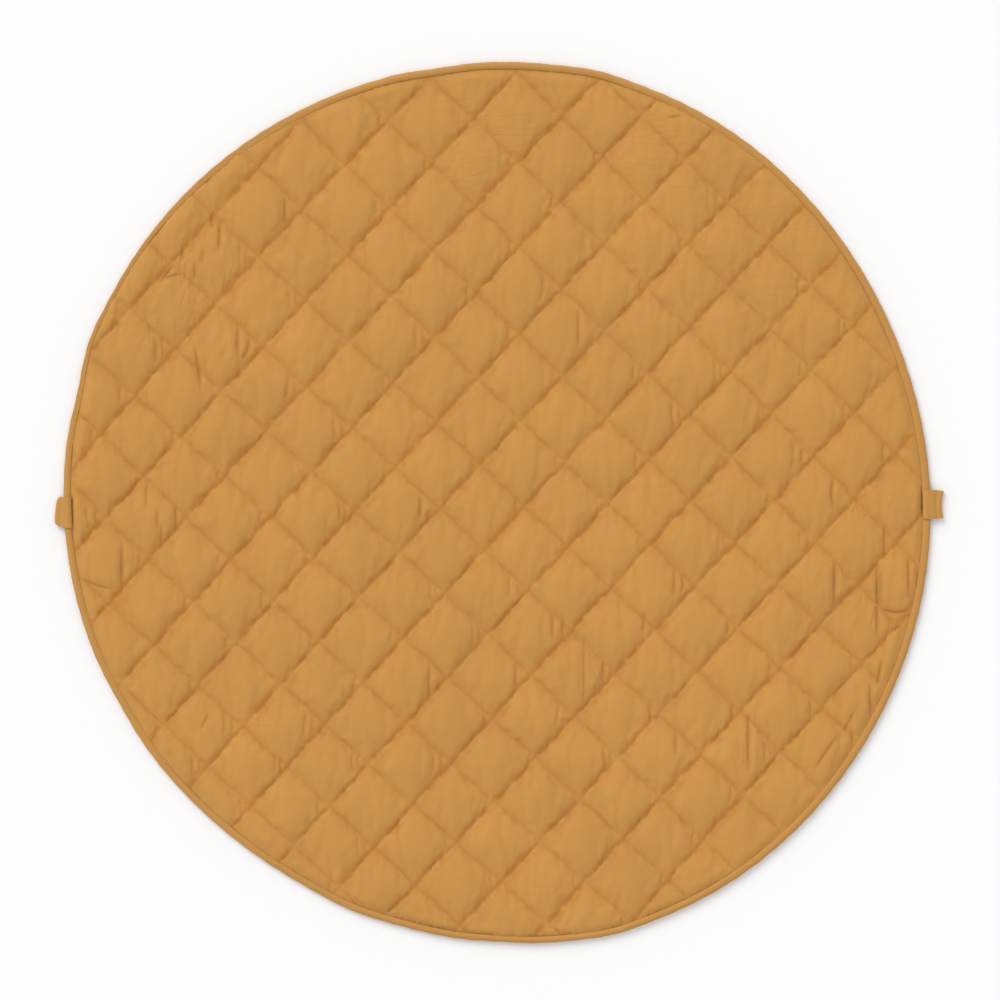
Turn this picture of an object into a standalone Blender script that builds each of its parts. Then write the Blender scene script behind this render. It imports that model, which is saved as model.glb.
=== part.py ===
"""Round quilted play mat bag, laid open flat on the floor.

The quilted panel lies with its underside on z = 0. A narrow rolled binding is folded over its rim,
and two cloth tabs at the left and right edge loop over the binding and back under it.
+X points to the right tab, +Y to the top of the mat, +Z up. Metres.
"""
import math
from collections import namedtuple

import bmesh
import bpy
from mathutils import Vector
from mathutils.geometry import delaunay_2d_cdt

# Rim outline, from the middle of the mat to the outer edge of the binding. Angles in degrees.
MEAN_RADIUS = 0.6002
RIM_STEPS = 120
CENTRE_SAMPLES = 1440

# Waves that run around the whole rim
Lobe = namedtuple("Lobe", "count depth crest")
LOBES = (
    Lobe(count=2, depth=0.0083, crest=-63.4),
    Lobe(count=3, depth=0.0043, crest=57.8),
    Lobe(count=4, depth=0.0008, crest=6.6),
    Lobe(count=5, depth=0.0015, crest=-5.1),
)

# Short bumps, and dents where the depth is under zero, between the ends of the seams
Bump = namedtuple("Bump", "angle depth width")
BUMPS = (
    Bump(angle=77, depth=0.0026, width=4),
    Bump(angle=98, depth=-0.0020, width=4),
    Bump(angle=158, depth=0.0028, width=4),
    Bump(angle=166, depth=-0.0026, width=4),
    Bump(angle=208, depth=-0.0020, width=5),
    Bump(angle=250, depth=0.0028, width=5),
    Bump(angle=270, depth=-0.0018, width=4),
    Bump(angle=285, depth=0.0026, width=4),
)

# Quilting seams of the two directions, about 45 degrees to X. Offset is measured across the seams
# from the middle of the mat, tilt is the turn away from 45 degrees, and bow is how far the middle
# of a seam bends out of the straight line between its ends.
Seam = namedtuple("Seam", "offset tilt bow")
RISING = (
    Seam(offset=-0.521, tilt=3.1, bow=0.004),
    Seam(offset=-0.439, tilt=2.4, bow=0.002),
    Seam(offset=-0.353, tilt=2.3, bow=-0.004),
    Seam(offset=-0.271, tilt=2.1, bow=-0.004),
    Seam(offset=-0.194, tilt=2.5, bow=0.003),
    Seam(offset=-0.111, tilt=2.3, bow=0.001),
    Seam(offset=-0.031, tilt=2.4, bow=0.003),
    Seam(offset=0.048, tilt=2.3, bow=0.008),
    Seam(offset=0.132, tilt=2.3, bow=0.007),
    Seam(offset=0.217, tilt=2.4, bow=0.003),
    Seam(offset=0.298, tilt=2.0, bow=0.006),
    Seam(offset=0.385, tilt=2.3, bow=0.0),
    Seam(offset=0.464, tilt=2.4, bow=0.010),
    Seam(offset=0.557, tilt=2.7, bow=0.0),
)
FALLING = (
    Seam(offset=-0.538, tilt=2.1, bow=0.0),
    Seam(offset=-0.466, tilt=2.5, bow=0.0),
    Seam(offset=-0.380, tilt=2.3, bow=-0.007),
    Seam(offset=-0.301, tilt=2.3, bow=-0.009),
    Seam(offset=-0.229, tilt=2.8, bow=0.003),
    Seam(offset=-0.151, tilt=2.2, bow=0.008),
    Seam(offset=-0.068, tilt=2.1, bow=0.006),
    Seam(offset=0.017, tilt=1.6, bow=0.003),
    Seam(offset=0.104, tilt=1.2, bow=-0.002),
    Seam(offset=0.187, tilt=0.9, bow=-0.002),
    Seam(offset=0.263, tilt=0.4, bow=0.007),
    Seam(offset=0.345, tilt=0.0, bow=0.008),
    Seam(offset=0.434, tilt=-0.3, bow=0.0),
    Seam(offset=0.514, tilt=0.1, bow=0.0),
)
PITCH = 0.083
DIAGONAL = math.sqrt(0.5)
CROSSING_ROUNDS = 6
ON_SEAM = 0.01

# Quilted panel: heights of its two cloths over the floor
PUFF_TOP = 0.012
SEAM_TOP = 0.0045
SEAM_UNDER = 0.0018
PUFF_ROUNDNESS = 0.5

# Hem of the panel, flat inside the binding. Depths are measured inward from the outer edge.
GAP = 0.0003
HEM_UNDER = 0.0032
HEM_TOP = 0.0062
HEM_DEPTH = 0.004
LIP_DEPTH = 0.012
TOP_SLOPE_DEPTH = 0.026
UNDER_SLOPE_DEPTH = 0.036
SEAM_END_DEPTH = 0.0135
CELL_POINT_DEPTH = 0.041
SLOPE_DEPTHS = (0.0195, UNDER_SLOPE_DEPTH)
SEAM_CLEAR = 0.07

# Where the points of one cell lie, in parts of the pitch
TOP_PARTS = (0.0, 0.2, 0.5, 0.8)
UNDER_PARTS = (0.0, 0.2, 0.8)
SEAM_WALK = 50

# Rolled binding, folded over the hem
BINDING_TOP = 0.0090
BINDING_UNDER = 0.0003
ROLL_HALF_WIDTH = 0.0064
ROLL_STEPS = 10

# Tabs: a strip of doubled cloth. Shorts are how far the fold at each place across the strip stays
# behind the tip, and the eye is the space that the fold leaves beside the binding.
STRIP = 0.0015
TAB_TIP = 0.6116
TAB_START_DEPTH = 0.0106
TAB_LEAVE_DEPTH = 0.002
TAB_CLEAR = 0.0006
TAB_FOLD_TOP = 0.0078
TAB_OVER_STEPS = 5
TAB_EYE_STEPS = 2
TAB_FOLD_STEPS = 8
TAB_BACK_STEPS = 3
TAB_ACROSS_STEPS = 6
Tab = namedtuple("Tab", "name side middle width upper_short middle_short lower_short")
TABS = (
    Tab(name="left_tab", side=-1, middle=-0.0136, width=0.043,
        upper_short=0.0034, middle_short=0.0014, lower_short=0.0),
    Tab(name="right_tab", side=1, middle=-0.0026, width=0.040,
        upper_short=0.0, middle_short=0.0014, lower_short=0.0004),
)

# The binding's underside rises over the part of each tab that runs under it
BINDING_LIFTED = 0.0019
LIFT_FULL = 0.026
LIFT_END = 0.050

# Colours of the cloth, linear
PANEL_COLOUR = (0.546, 0.274, 0.070, 1.0)
BINDING_COLOUR = (0.520, 0.258, 0.066, 1.0)
TAB_COLOUR = (0.560, 0.284, 0.074, 1.0)
CLOTH_ROUGHNESS = 0.85


def smooth(value, start, end):
    """Smooth change from 0 at the start value to 1 at the end value."""
    part = min(max((value - start) / (end - start), 0.0), 1.0)
    return part * part * (3.0 - 2.0 * part)


def edge_radius(angle):
    """Radius of the binding's outer edge at an angle about the middle of the mat."""
    radius = MEAN_RADIUS
    for lobe in LOBES:
        radius += lobe.depth * math.cos(lobe.count * math.radians(angle - lobe.crest))
    for bump in BUMPS:
        away = ((angle - bump.angle + 180.0) % 360.0 - 180.0) / bump.width
        radius += bump.depth * math.exp(-away * away)
    return radius


def rim_point(angle, depth=0.0):
    """Plan point of the rim, a depth inside its outer edge."""
    radius = edge_radius(angle) - depth
    turn = math.radians(angle)
    return Vector((radius * math.cos(turn), radius * math.sin(turn)))


def rim_depth(point):
    """How far inside the outer edge a plan point lies."""
    return edge_radius(math.degrees(math.atan2(point.y, point.x))) - point.length


def edge_out(height, side):
    """Distance in X from the middle to the outer edge, at a plan height, on one side."""
    angle = 0.0
    for _ in range(CROSSING_ROUNDS):
        radius = edge_radius(angle if side > 0 else 180.0 - angle)
        angle = math.degrees(math.asin(height / radius))
    return radius * math.cos(math.radians(angle))


def centre_shift():
    """How far the plan moves in Y so that the outline stands centred on the origin."""
    heights = [rim_point(360.0 * step / CENTRE_SAMPLES).y for step in range(CENTRE_SAMPLES)]
    return -(max(heights) + min(heights)) / 2.0


def seam_across(rows, row, along):
    """Where a seam runs across its own direction, at a distance along it."""
    nearest = min(max(row, 0), len(rows) - 1)
    seam = rows[nearest]
    half_chord = MEAN_RADIUS ** 2 - seam.offset ** 2
    bend = seam.bow * (1.0 - along * along / half_chord)
    across = seam.offset + math.tan(math.radians(seam.tilt)) * along + bend
    return across + (row - nearest) * PITCH


def line_across(rows, index, along):
    """The same for a line part of the way from one seam to the next."""
    row = math.floor(index)
    near = seam_across(rows, row, along)
    return near + (index - row) * (seam_across(rows, row + 1, along) - near)


def line_index(rows, across, along):
    """Which line runs through a place: whole on a seam, in parts between two."""
    row = -2
    while seam_across(rows, row + 1, along) < across:
        row += 1
    near = seam_across(rows, row, along)
    index = row + (across - near) / (seam_across(rows, row + 1, along) - near)
    return round(index) if abs(index - round(index)) < ON_SEAM else index


def crossing(rising, falling):
    """Plan point where a line of each direction cross."""
    across = 0.0
    along = 0.0
    for _ in range(CROSSING_ROUNDS):
        across = line_across(RISING, rising, along)
        along = line_across(FALLING, falling, -across)
    return Vector((DIAGONAL * (along - across), DIAGONAL * (along + across)))


def cell_parts(point):
    """Where a plan point lies in its cell: the part of the pitch from each of two seams."""
    along = DIAGONAL * (point.x + point.y)
    across = DIAGONAL * (point.y - point.x)
    return line_index(RISING, across, along) % 1.0, line_index(FALLING, along, -across) % 1.0


def puff(point, roundness):
    """Rise of the puff at a plan point: 0 on the seams and 1 in the middle of a cell."""
    rising, falling = cell_parts(point)
    return (16.0 * rising * (1.0 - rising) * falling * (1.0 - falling)) ** roundness


def top_height(point):
    """Height of the upper cloth: puffs between the seams, flat under the binding."""
    raised = SEAM_TOP + (PUFF_TOP - SEAM_TOP) * puff(point, PUFF_ROUNDNESS)
    return HEM_TOP + (raised - HEM_TOP) * smooth(rim_depth(point), LIP_DEPTH + GAP, TOP_SLOPE_DEPTH)


def under_height(point):
    """Height of the under cloth: on the floor but for the seams and the hem."""
    lifted = SEAM_UNDER if puff(point, 1.0) == 0.0 else 0.0
    slope = smooth(rim_depth(point), LIP_DEPTH + GAP, UNDER_SLOPE_DEPTH - GAP)
    return HEM_UNDER + (lifted - HEM_UNDER) * slope


def seam_line(line_place, indexes):
    """Plan points of one seam, from its end at the binding to its other end."""
    fine = [index / SEAM_WALK for index in range(-SEAM_WALK, SEAM_WALK * (len(RISING) + 1))]
    walked = [line_place(index) for index in fine]
    middle = [line_place(index) for index in indexes]
    line = [point for point in middle if rim_depth(point) > CELL_POINT_DEPTH]
    for depth in sorted(SLOPE_DEPTHS + (SEAM_END_DEPTH,), reverse=True):
        inside = [point for point in walked if rim_depth(point) > depth]
        if inside:
            line = [inside[0]] + line + [inside[-1]]
    return line


def clear_of_seams(point):
    """Whether a plan point keeps away from the seams around it."""
    return all(SEAM_CLEAR < part < 1.0 - SEAM_CLEAR for part in cell_parts(point))


def plan(parts):
    """Plan points and edges of one cloth: rings along the rim, seams, and points in the cells."""
    points = []
    edges = []
    for depth in (HEM_DEPTH, LIP_DEPTH):
        start = len(points)
        for step in range(RIM_STEPS):
            points.append(rim_point(360.0 * step / RIM_STEPS, depth))
            edges.append((start + step, start + (step + 1) % RIM_STEPS))
    for depth in SLOPE_DEPTHS:
        ring = [rim_point(360.0 * step / RIM_STEPS, depth) for step in range(RIM_STEPS)]
        points.extend(point for point in ring if clear_of_seams(point))
    indexes = [cell + part for cell in range(-1, len(RISING)) for part in parts]
    for row in range(len(RISING)):
        for place in (lambda index: crossing(row, index), lambda index: crossing(index, row)):
            line = seam_line(place, indexes)
            start = len(points)
            points.extend(line)
            edges.extend((start + step, start + step + 1) for step in range(len(line) - 1))
    inner = [index for index in indexes if index % 1.0 > 0.0]
    for rising in inner:
        for falling in inner:
            point = crossing(rising, falling)
            if rim_depth(point) > CELL_POINT_DEPTH:
                points.append(point)
    return points, edges


def lay_cloth(mesh, parts, height, shift, upward):
    """Triangulate the plan of one cloth and lift its points to their heights."""
    points, edges = plan(parts)
    laid = delaunay_2d_cdt(points, edges, [], 1, GAP)
    verts = [mesh.verts.new((point.x, point.y + shift, height(point))) for point in laid[0]]
    for corners in laid[2]:
        order = corners if upward else reversed(corners)
        mesh.faces.new([verts[corner] for corner in order])


def cloth_material(name, colour):
    """Plain matt cotton."""
    material = bpy.data.materials.new(name)
    material.use_nodes = True
    shader = material.node_tree.nodes["Principled BSDF"]
    shader.inputs["Base Color"].default_value = colour
    shader.inputs["Roughness"].default_value = CLOTH_ROUGHNESS
    shader.inputs["Metallic"].default_value = 0.0
    material.diffuse_color = colour
    return material


def add_piece(name, mesh, colour, collection):
    """Turn a bmesh into a named object with a material of its own."""
    data = bpy.data.meshes.new(name)
    mesh.to_mesh(data)
    mesh.free()
    data.shade_smooth()
    data.materials.append(cloth_material(name + " cotton", colour))
    piece = bpy.data.objects.new(name, data)
    collection.objects.link(piece)
    return piece


def quilted_panel(collection, shift):
    """Upper cloth, wadding and under cloth, stitched through along the seams."""
    mesh = bmesh.new()
    lay_cloth(mesh, TOP_PARTS, top_height, shift, upward=True)
    lay_cloth(mesh, UNDER_PARTS, under_height, shift, upward=False)
    bmesh.ops.bridge_loops(mesh, edges=[edge for edge in mesh.edges if edge.is_boundary])
    bmesh.ops.recalc_face_normals(mesh, faces=mesh.faces)
    add_piece("quilted_panel", mesh, PANEL_COLOUR, collection)


def roll_height(depth):
    """Half height of the rolled binding at a depth inside its outer edge."""
    across = depth / ROLL_HALF_WIDTH - 1.0
    return (BINDING_TOP - BINDING_UNDER) / 2.0 * math.sqrt(max(1.0 - across * across, 0.0))


def binding_section():
    """Depth and height of the points around the binding's section, with the slot for the hem."""
    lip = LIP_DEPTH - GAP
    slot = HEM_DEPTH - GAP
    middle = (BINDING_TOP + BINDING_UNDER) / 2.0
    section = [(lip, HEM_UNDER - GAP), (slot, HEM_UNDER - GAP), (slot, HEM_TOP + GAP),
               (lip, HEM_TOP + GAP)]
    first_turn = math.acos(lip / ROLL_HALF_WIDTH - 1.0)
    for step in range(ROLL_STEPS + 1):
        turn = first_turn + (2.0 * math.pi - 2.0 * first_turn) * step / ROLL_STEPS
        depth = ROLL_HALF_WIDTH * (1.0 + math.cos(turn))
        side = 1.0 if turn <= math.pi else -1.0
        section.append((depth, middle + side * roll_height(depth)))
    return section


def tab_lift(height, across):
    """Lift of a point of the binding that stands over the under part of a tab."""
    slot_under = HEM_UNDER - GAP
    if height >= slot_under:
        return height
    squeeze = (slot_under - BINDING_LIFTED) / (slot_under - BINDING_UNDER)
    near = 1.0 - smooth(abs(across), LIFT_FULL, LIFT_END)
    return slot_under - (slot_under - height) * (1.0 - near * (1.0 - squeeze))


def edge_binding(collection, shift):
    """The section turned around the mat, then moved out to the outline and lifted at the tabs."""
    mesh = bmesh.new()
    verts = [mesh.verts.new((MEAN_RADIUS - depth, 0.0, up)) for depth, up in binding_section()]
    for step, vert in enumerate(verts):
        mesh.edges.new((vert, verts[(step + 1) % len(verts)]))
    bmesh.ops.spin(mesh, geom=mesh.verts[:] + mesh.edges[:], cent=(0.0, 0.0, 0.0),
                   axis=(0.0, 0.0, 1.0), angle=2.0 * math.pi, steps=RIM_STEPS, use_merge=True)
    for vert in mesh.verts:
        flat = vert.co.xy
        place = rim_point(math.degrees(math.atan2(flat.y, flat.x)), MEAN_RADIUS - flat.length)
        tab = TABS[0] if place.x < 0.0 else TABS[1]
        vert.co.z = tab_lift(vert.co.z, place.y + shift - tab.middle)
        vert.co.xy = (place.x, place.y + shift)
    bmesh.ops.recalc_face_normals(mesh, faces=mesh.faces)
    add_piece("edge_binding", mesh, BINDING_COLOUR, collection)


def tab_path(reach):
    """Out and up of the middle of the strip, from its seam over the binding and back under it."""
    middle = (BINDING_TOP + BINDING_UNDER) / 2.0
    over = middle + TAB_CLEAR + STRIP / 2.0
    path = []
    for step in range(TAB_OVER_STEPS + 1):
        depth = TAB_START_DEPTH + (TAB_LEAVE_DEPTH - TAB_START_DEPTH) * step / TAB_OVER_STEPS
        path.append((-depth, over + roll_height(depth)))
    leave_out, leave_up = path[-1]
    fold_radius = (TAB_FOLD_TOP - STRIP / 2.0) / 2.0
    fold_out = reach - STRIP / 2.0 - fold_radius
    for step in range(1, TAB_EYE_STEPS):
        part = step / TAB_EYE_STEPS
        path.append((leave_out + (fold_out - leave_out) * part,
                     leave_up + (TAB_FOLD_TOP - leave_up) * part))
    for step in range(TAB_FOLD_STEPS + 1):
        turn = math.pi * (0.5 - step / TAB_FOLD_STEPS)
        path.append((fold_out + fold_radius * math.cos(turn),
                     STRIP / 2.0 + fold_radius * (1.0 + math.sin(turn))))
    for step in range(1, TAB_BACK_STEPS + 1):
        part = step / TAB_BACK_STEPS
        path.append((fold_out + (-TAB_START_DEPTH - fold_out) * part, STRIP / 2.0))
    return path


def tab_short(tab, part):
    """How far the fold stays behind the tip, part of the way from lower to upper corner."""
    lower = tab.lower_short * (1.0 - part) * (1.0 - 2.0 * part)
    middle = tab.middle_short * 4.0 * part * (1.0 - part)
    upper = tab.upper_short * part * (2.0 * part - 1.0)
    return lower + middle + upper


def pull_tab(tab, collection, shift):
    """One tab: a grid laid along its path, as thick as the strip."""
    columns = len(tab_path(0.0)) - 1
    mesh = bmesh.new()
    bmesh.ops.create_grid(mesh, x_segments=columns, y_segments=TAB_ACROSS_STEPS, size=1.0)
    for vert in mesh.verts:
        column = round((vert.co.x + 1.0) / 2.0 * columns)
        part = (vert.co.y + 1.0) / 2.0
        height = tab.middle + (part - 0.5) * tab.width
        edge = edge_out(height - shift, tab.side)
        out, up = tab_path(TAB_TIP - tab_short(tab, part) - edge)[column]
        vert.co = (tab.side * (edge + out), height, up)
    piece = add_piece(tab.name, mesh, TAB_COLOUR, collection)
    thicken = piece.modifiers.new("strip", "SOLIDIFY")
    thicken.thickness = STRIP
    thicken.offset = 0.0


def main():
    for item in list(bpy.data.objects):
        bpy.data.objects.remove(item)
    collection = bpy.data.collections.new("play_mat_bag")
    bpy.context.scene.collection.children.link(collection)
    shift = centre_shift()
    quilted_panel(collection, shift)
    edge_binding(collection, shift)
    for tab in TABS:
        pull_tab(tab, collection, shift)


main()
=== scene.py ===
"""Round quilted play mat bag, laid open on a pale floor: the looks of its cloth."""
import math
from collections import namedtuple

import bpy
import numpy as np
from bpy.props import FloatProperty, FloatVectorProperty, PointerProperty
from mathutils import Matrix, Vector


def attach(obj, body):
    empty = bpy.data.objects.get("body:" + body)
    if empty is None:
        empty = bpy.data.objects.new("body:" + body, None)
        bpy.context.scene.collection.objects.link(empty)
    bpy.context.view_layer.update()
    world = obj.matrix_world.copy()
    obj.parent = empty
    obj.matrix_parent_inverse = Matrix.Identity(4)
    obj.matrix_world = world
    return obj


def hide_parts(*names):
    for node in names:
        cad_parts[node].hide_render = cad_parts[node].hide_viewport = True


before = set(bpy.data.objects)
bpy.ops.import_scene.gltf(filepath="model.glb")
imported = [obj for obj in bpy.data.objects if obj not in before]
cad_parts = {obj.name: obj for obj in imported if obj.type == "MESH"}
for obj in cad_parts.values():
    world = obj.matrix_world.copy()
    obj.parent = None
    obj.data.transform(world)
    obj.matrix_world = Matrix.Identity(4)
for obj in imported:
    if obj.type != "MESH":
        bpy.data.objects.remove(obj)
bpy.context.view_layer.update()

bl_info = {
    "name": "Quilted Mat Bag",
    "version": (1, 0, 0),
    "blender": (4, 5, 0),
    "location": "View3D > Sidebar > Mat Bag",
    "description": "Builds the quilted cloth, rolled binding, tabs and stage of an open mat bag",
    "category": "Object",
}

# Rim outline, from the middle of the mat to the outer edge of the binding. Angles in degrees.
MEAN_RADIUS = 0.6002
Lobe = namedtuple("Lobe", "count depth crest")
LOBES = (
    Lobe(count=2, depth=0.0083, crest=-63.4),
    Lobe(count=3, depth=0.0043, crest=57.8),
    Lobe(count=4, depth=0.0008, crest=6.6),
    Lobe(count=5, depth=0.0015, crest=-5.1),
)
Bump = namedtuple("Bump", "angle depth width")
BUMPS = (
    Bump(angle=77, depth=0.0026, width=4),
    Bump(angle=98, depth=-0.0020, width=4),
    Bump(angle=158, depth=0.0028, width=4),
    Bump(angle=166, depth=-0.0026, width=4),
    Bump(angle=208, depth=-0.0020, width=5),
    Bump(angle=250, depth=0.0028, width=5),
    Bump(angle=270, depth=-0.0018, width=4),
    Bump(angle=285, depth=0.0026, width=4),
)
CENTRE_SAMPLES = 1440

# Quilting seams of the two directions: offset across the seams from the middle, tilt away from
# 45 degrees, and how far the middle of a seam bows out of line
Seam = namedtuple("Seam", "offset tilt bow")
RISING = (
    Seam(offset=-0.523, tilt=3.1, bow=0.004),
    Seam(offset=-0.441, tilt=2.4, bow=0.002),
    Seam(offset=-0.355, tilt=2.3, bow=-0.004),
    Seam(offset=-0.273, tilt=2.1, bow=-0.004),
    Seam(offset=-0.196, tilt=2.5, bow=0.003),
    Seam(offset=-0.113, tilt=2.3, bow=0.001),
    Seam(offset=-0.033, tilt=2.4, bow=0.003),
    Seam(offset=0.046, tilt=2.3, bow=0.008),
    Seam(offset=0.130, tilt=2.3, bow=0.007),
    Seam(offset=0.215, tilt=2.4, bow=0.003),
    Seam(offset=0.296, tilt=2.0, bow=0.006),
    Seam(offset=0.383, tilt=2.3, bow=0.0),
    Seam(offset=0.462, tilt=2.4, bow=0.010),
    Seam(offset=0.555, tilt=2.7, bow=0.0),
)
FALLING = (
    Seam(offset=-0.539, tilt=2.1, bow=0.0),
    Seam(offset=-0.467, tilt=2.5, bow=0.0),
    Seam(offset=-0.381, tilt=2.3, bow=-0.007),
    Seam(offset=-0.302, tilt=2.3, bow=-0.009),
    Seam(offset=-0.230, tilt=2.8, bow=0.003),
    Seam(offset=-0.152, tilt=2.2, bow=0.008),
    Seam(offset=-0.069, tilt=2.1, bow=0.006),
    Seam(offset=0.016, tilt=1.6, bow=0.003),
    Seam(offset=0.103, tilt=1.2, bow=-0.002),
    Seam(offset=0.186, tilt=0.9, bow=-0.002),
    Seam(offset=0.262, tilt=0.4, bow=0.007),
    Seam(offset=0.344, tilt=0.0, bow=0.008),
    Seam(offset=0.433, tilt=-0.3, bow=0.0),
    Seam(offset=0.513, tilt=0.1, bow=0.0),
)
PITCH = 0.083
DIAGONAL = math.sqrt(0.5)
CROSSING_ROUNDS = 6

# Waves: their length in metres, and the swing of the wave that pushes them to and fro, in radians,
# with its rate, in radians to a metre
Wave = namedtuple("Wave", "length swing rate")
SLOW_WANDER = Wave(length=0.047, swing=3.0, rate=23.0)
FAST_WANDER = Wave(length=0.019, swing=4.0, rate=41.0)
FINE_RIPPLE = Wave(length=0.0093, swing=2.0, rate=31.0)
BROAD_RIPPLE = Wave(length=0.031, swing=3.0, rate=9.0)
RIPPLES_COME = Wave(length=2.0 * math.pi / 17.0, swing=2.0, rate=5.0)
# How far hand-guided seams wander sideways, how much of it is slow, and the rates, beside and
# along, at which the fast wander comes and goes
WANDER = 0.0013
SLOW_SHARE = 0.6
FAST_COMES = (67.0, 29.0)

# Hem and seams of the two cloths. Depths are measured inward from the outer edge, heights up from
# the floor. The puffs start RIM_LOW past the binding and round up over RIM_ROUND
HEM_DEPTH = 0.0043
HEM_UNDER = 0.0034
HEM_TOP = 0.0062
RIM_LOW = 0.0010
RIM_ROUND = 0.012
SLOPE_DEPTH = 0.026
UNDER_SLOPE_DEPTH = 0.036
SEAM_UNDER = 0.0018

# The binding seen from above: its width, and where it is wider or lower than elsewhere and the
# cloth beside it rounds down over a longer way or lies higher. Angles in degrees, sizes in metres
LIP_DEPTH = 0.0102
Lip = namedtuple("Lip", "angle spread wider lower rounder flush")
LIPS = (
    Lip(angle=8, spread=25, wider=0.0010, lower=0.0, rounder=-0.003, flush=0.0),
    Lip(angle=58, spread=12, wider=0.0, lower=0.0012, rounder=0.0, flush=0.0008),
    Lip(angle=124, spread=14, wider=0.0, lower=0.0014, rounder=0.0, flush=0.0009),
    Lip(angle=151, spread=19, wider=-0.0050, lower=0.0036, rounder=0.0, flush=0.0012),
    Lip(angle=206, spread=18, wider=0.0, lower=0.0010, rounder=0.0, flush=0.0007),
    Lip(angle=272, spread=24, wider=-0.0010, lower=-0.0004, rounder=-0.008, flush=-0.0014),
    Lip(angle=318, spread=20, wider=0.0008, lower=0.0, rounder=-0.003, flush=0.0),
)
# The higher places start this far under the binding and are full this far past its edge
FLUSH_UNDER = 0.0020
FLUSH_RISE = 0.0003

# Grids of the two cloths: steps to a cell, how much closer together they are by the seams, and
# how the puffs round off before the cloth simulation
TOP_STEPS = 22
UNDER_STEPS = 10
SEAM_CROWDING = 0.25
MERGE = 0.0004
PUFF_ROUNDNESS = 0.44
RIM_ROUNDNESS = 0.80
UNDER_ROUNDNESS = 0.5
# One draw for each cell, with cells to spare round the seams; vertices on a seam go to one cell
CELL_UNEVEN = 0.07
SPARE_CELLS = 2
ON_SEAM = 0.001
SEED = 11

# Cloth simulation of the upper cloth, and which of its vertices the stitches hold
CLOTH_QUALITY = 4
CLOTH_MASS = 0.0003
CLOTH_DAMPING = 4.0
CLOTH_STIFFNESS = 15.0
CLOTH_SHEAR = 5.0
CLOTH_BENDING = 0.04
CLOTH_FRAMES = 16
DRAW_FRAMES = 8
RIM_HELD = 0.0030
STITCHED_RISE = 0.02
STARTING_NOISE = 0.0002
FURTHEST_SWELL = 0.02

# Creases listed for the upper cloth: middle from the middle of the mat, direction in degrees,
# length, depth, and how far the ends bend to the right of that direction. Places and sizes in
# millimetres. The first two are the deep folds where the tabs are caught in.
Crease = namedtuple("Crease", "x y turn length deep bend")
CREASES = (
    Crease(-588, -12, 90, 46, 2.4, 0),
    Crease(583, 1, 90, 48, 2.4, 0),
    Crease(109, 237, 90, 65, 1.0, 0),
    Crease(-108, -9, 90, 36, 1.0, 0),
    Crease(-98, -21, 90, 21, 0.9, 0),
    Crease(23, -7, 90, 22, 0.8, 0),
    Crease(14, -118, 90, 35, 0.8, 0),
    Crease(241, -113, 90, 43, 0.9, 0),
    Crease(253, -113, 90, 30, 0.9, -3),
    Crease(74, -174, 90, 38, 0.9, 0),
    Crease(88, -173, 90, 30, 0.9, -1),
    Crease(199, -167, 90, 35, 0.8, -2),
    Crease(-96, -247, 90, 51, 0.9, 1),
    Crease(23, -240, 90, 44, 1.0, 0),
    Crease(-20, -302, 90, 25, 0.8, 0),
    Crease(117, -235, 90, 97, 0.8, 0),
    Crease(143, -234, 90, 43, 1.0, 0),
    Crease(208, -293, 90, 30, 0.9, -1),
    Crease(243, -336, 90, 35, 0.8, 0),
    Crease(320, -288, 90, 25, 0.8, 0),
    Crease(315, -172, 90, 27, 0.8, -2),
    Crease(457, 10, 90, 51, 1.1, 5),
    Crease(461, -115, 90, 73, 1.2, 0),
    Crease(520, -136, 90, 119, 1.3, 0),
    Crease(528, 64, 90, 35, 0.8, 0),
    Crease(530, -56, 90, 59, 1.0, 0),
    Crease(563, -102, 90, 66, 1.2, 0),
    Crease(576, -109, 90, 60, 0.8, -3),
    Crease(524, -119, 90, 57, 1.0, 2),
    Crease(546, -153, 0, 44, 1.2, -7),
    Crease(343, -337, 90, 100, 1.1, 0),
    Crease(428, -285, 90, 30, 0.9, 0),
    Crease(510, -275, 93, 52, 1.2, 2),
    Crease(523, -236, 79, 42, 1.1, 0),
    Crease(481, -303, 62, 41, 0.9, 0),
    Crease(449, -345, 56, 59, 1.1, 1),
    Crease(486, -325, 90, 32, 0.8, -3),
    Crease(-359, 220, 90, 59, 1.1, 0),
    Crease(-413, 183, 98, 72, 1.2, -1),
    Crease(-346, 207, 69, 39, 0.8, -4),
    Crease(-518, -87, 90, 68, 1.1, 0),
    Crease(-484, 8, 90, 40, 0.8, 0),
    Crease(-469, -26, 90, 36, 0.8, 0),
    Crease(-464, -48, 90, 43, 0.8, 0),
    Crease(-444, -25, 90, 46, 1.0, 0),
    Crease(-553, -116, -18, 52, 0.9, -4),
    Crease(-450, 309, 18, 30, 1.0, 0),
    Crease(-294, 399, 90, 43, 1.1, 0),
    Crease(-384, 364, 90, 44, 1.2, 0),
    Crease(-395, 387, 90, 27, 1.1, 3),
    Crease(-435, 340, 90, 27, 0.9, 0),
    Crease(-457, 312, 51, 35, 1.1, 0),
    Crease(-407, 337, 90, 25, 0.8, 0),
    Crease(-418, 317, 90, 27, 0.9, 0),
    Crease(-169, 404, 90, 22, 0.8, 0),
    Crease(410, 295, 90, 33, 0.9, 3),
    Crease(-308, -362, 90, 27, 0.9, 0),
    Crease(-300, -365, 90, 30, 0.8, 0),
    Crease(-404, -303, 63, 25, 0.8, 0),
    Crease(242, 528, 8, 26, 0.8, 0),
)
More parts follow.
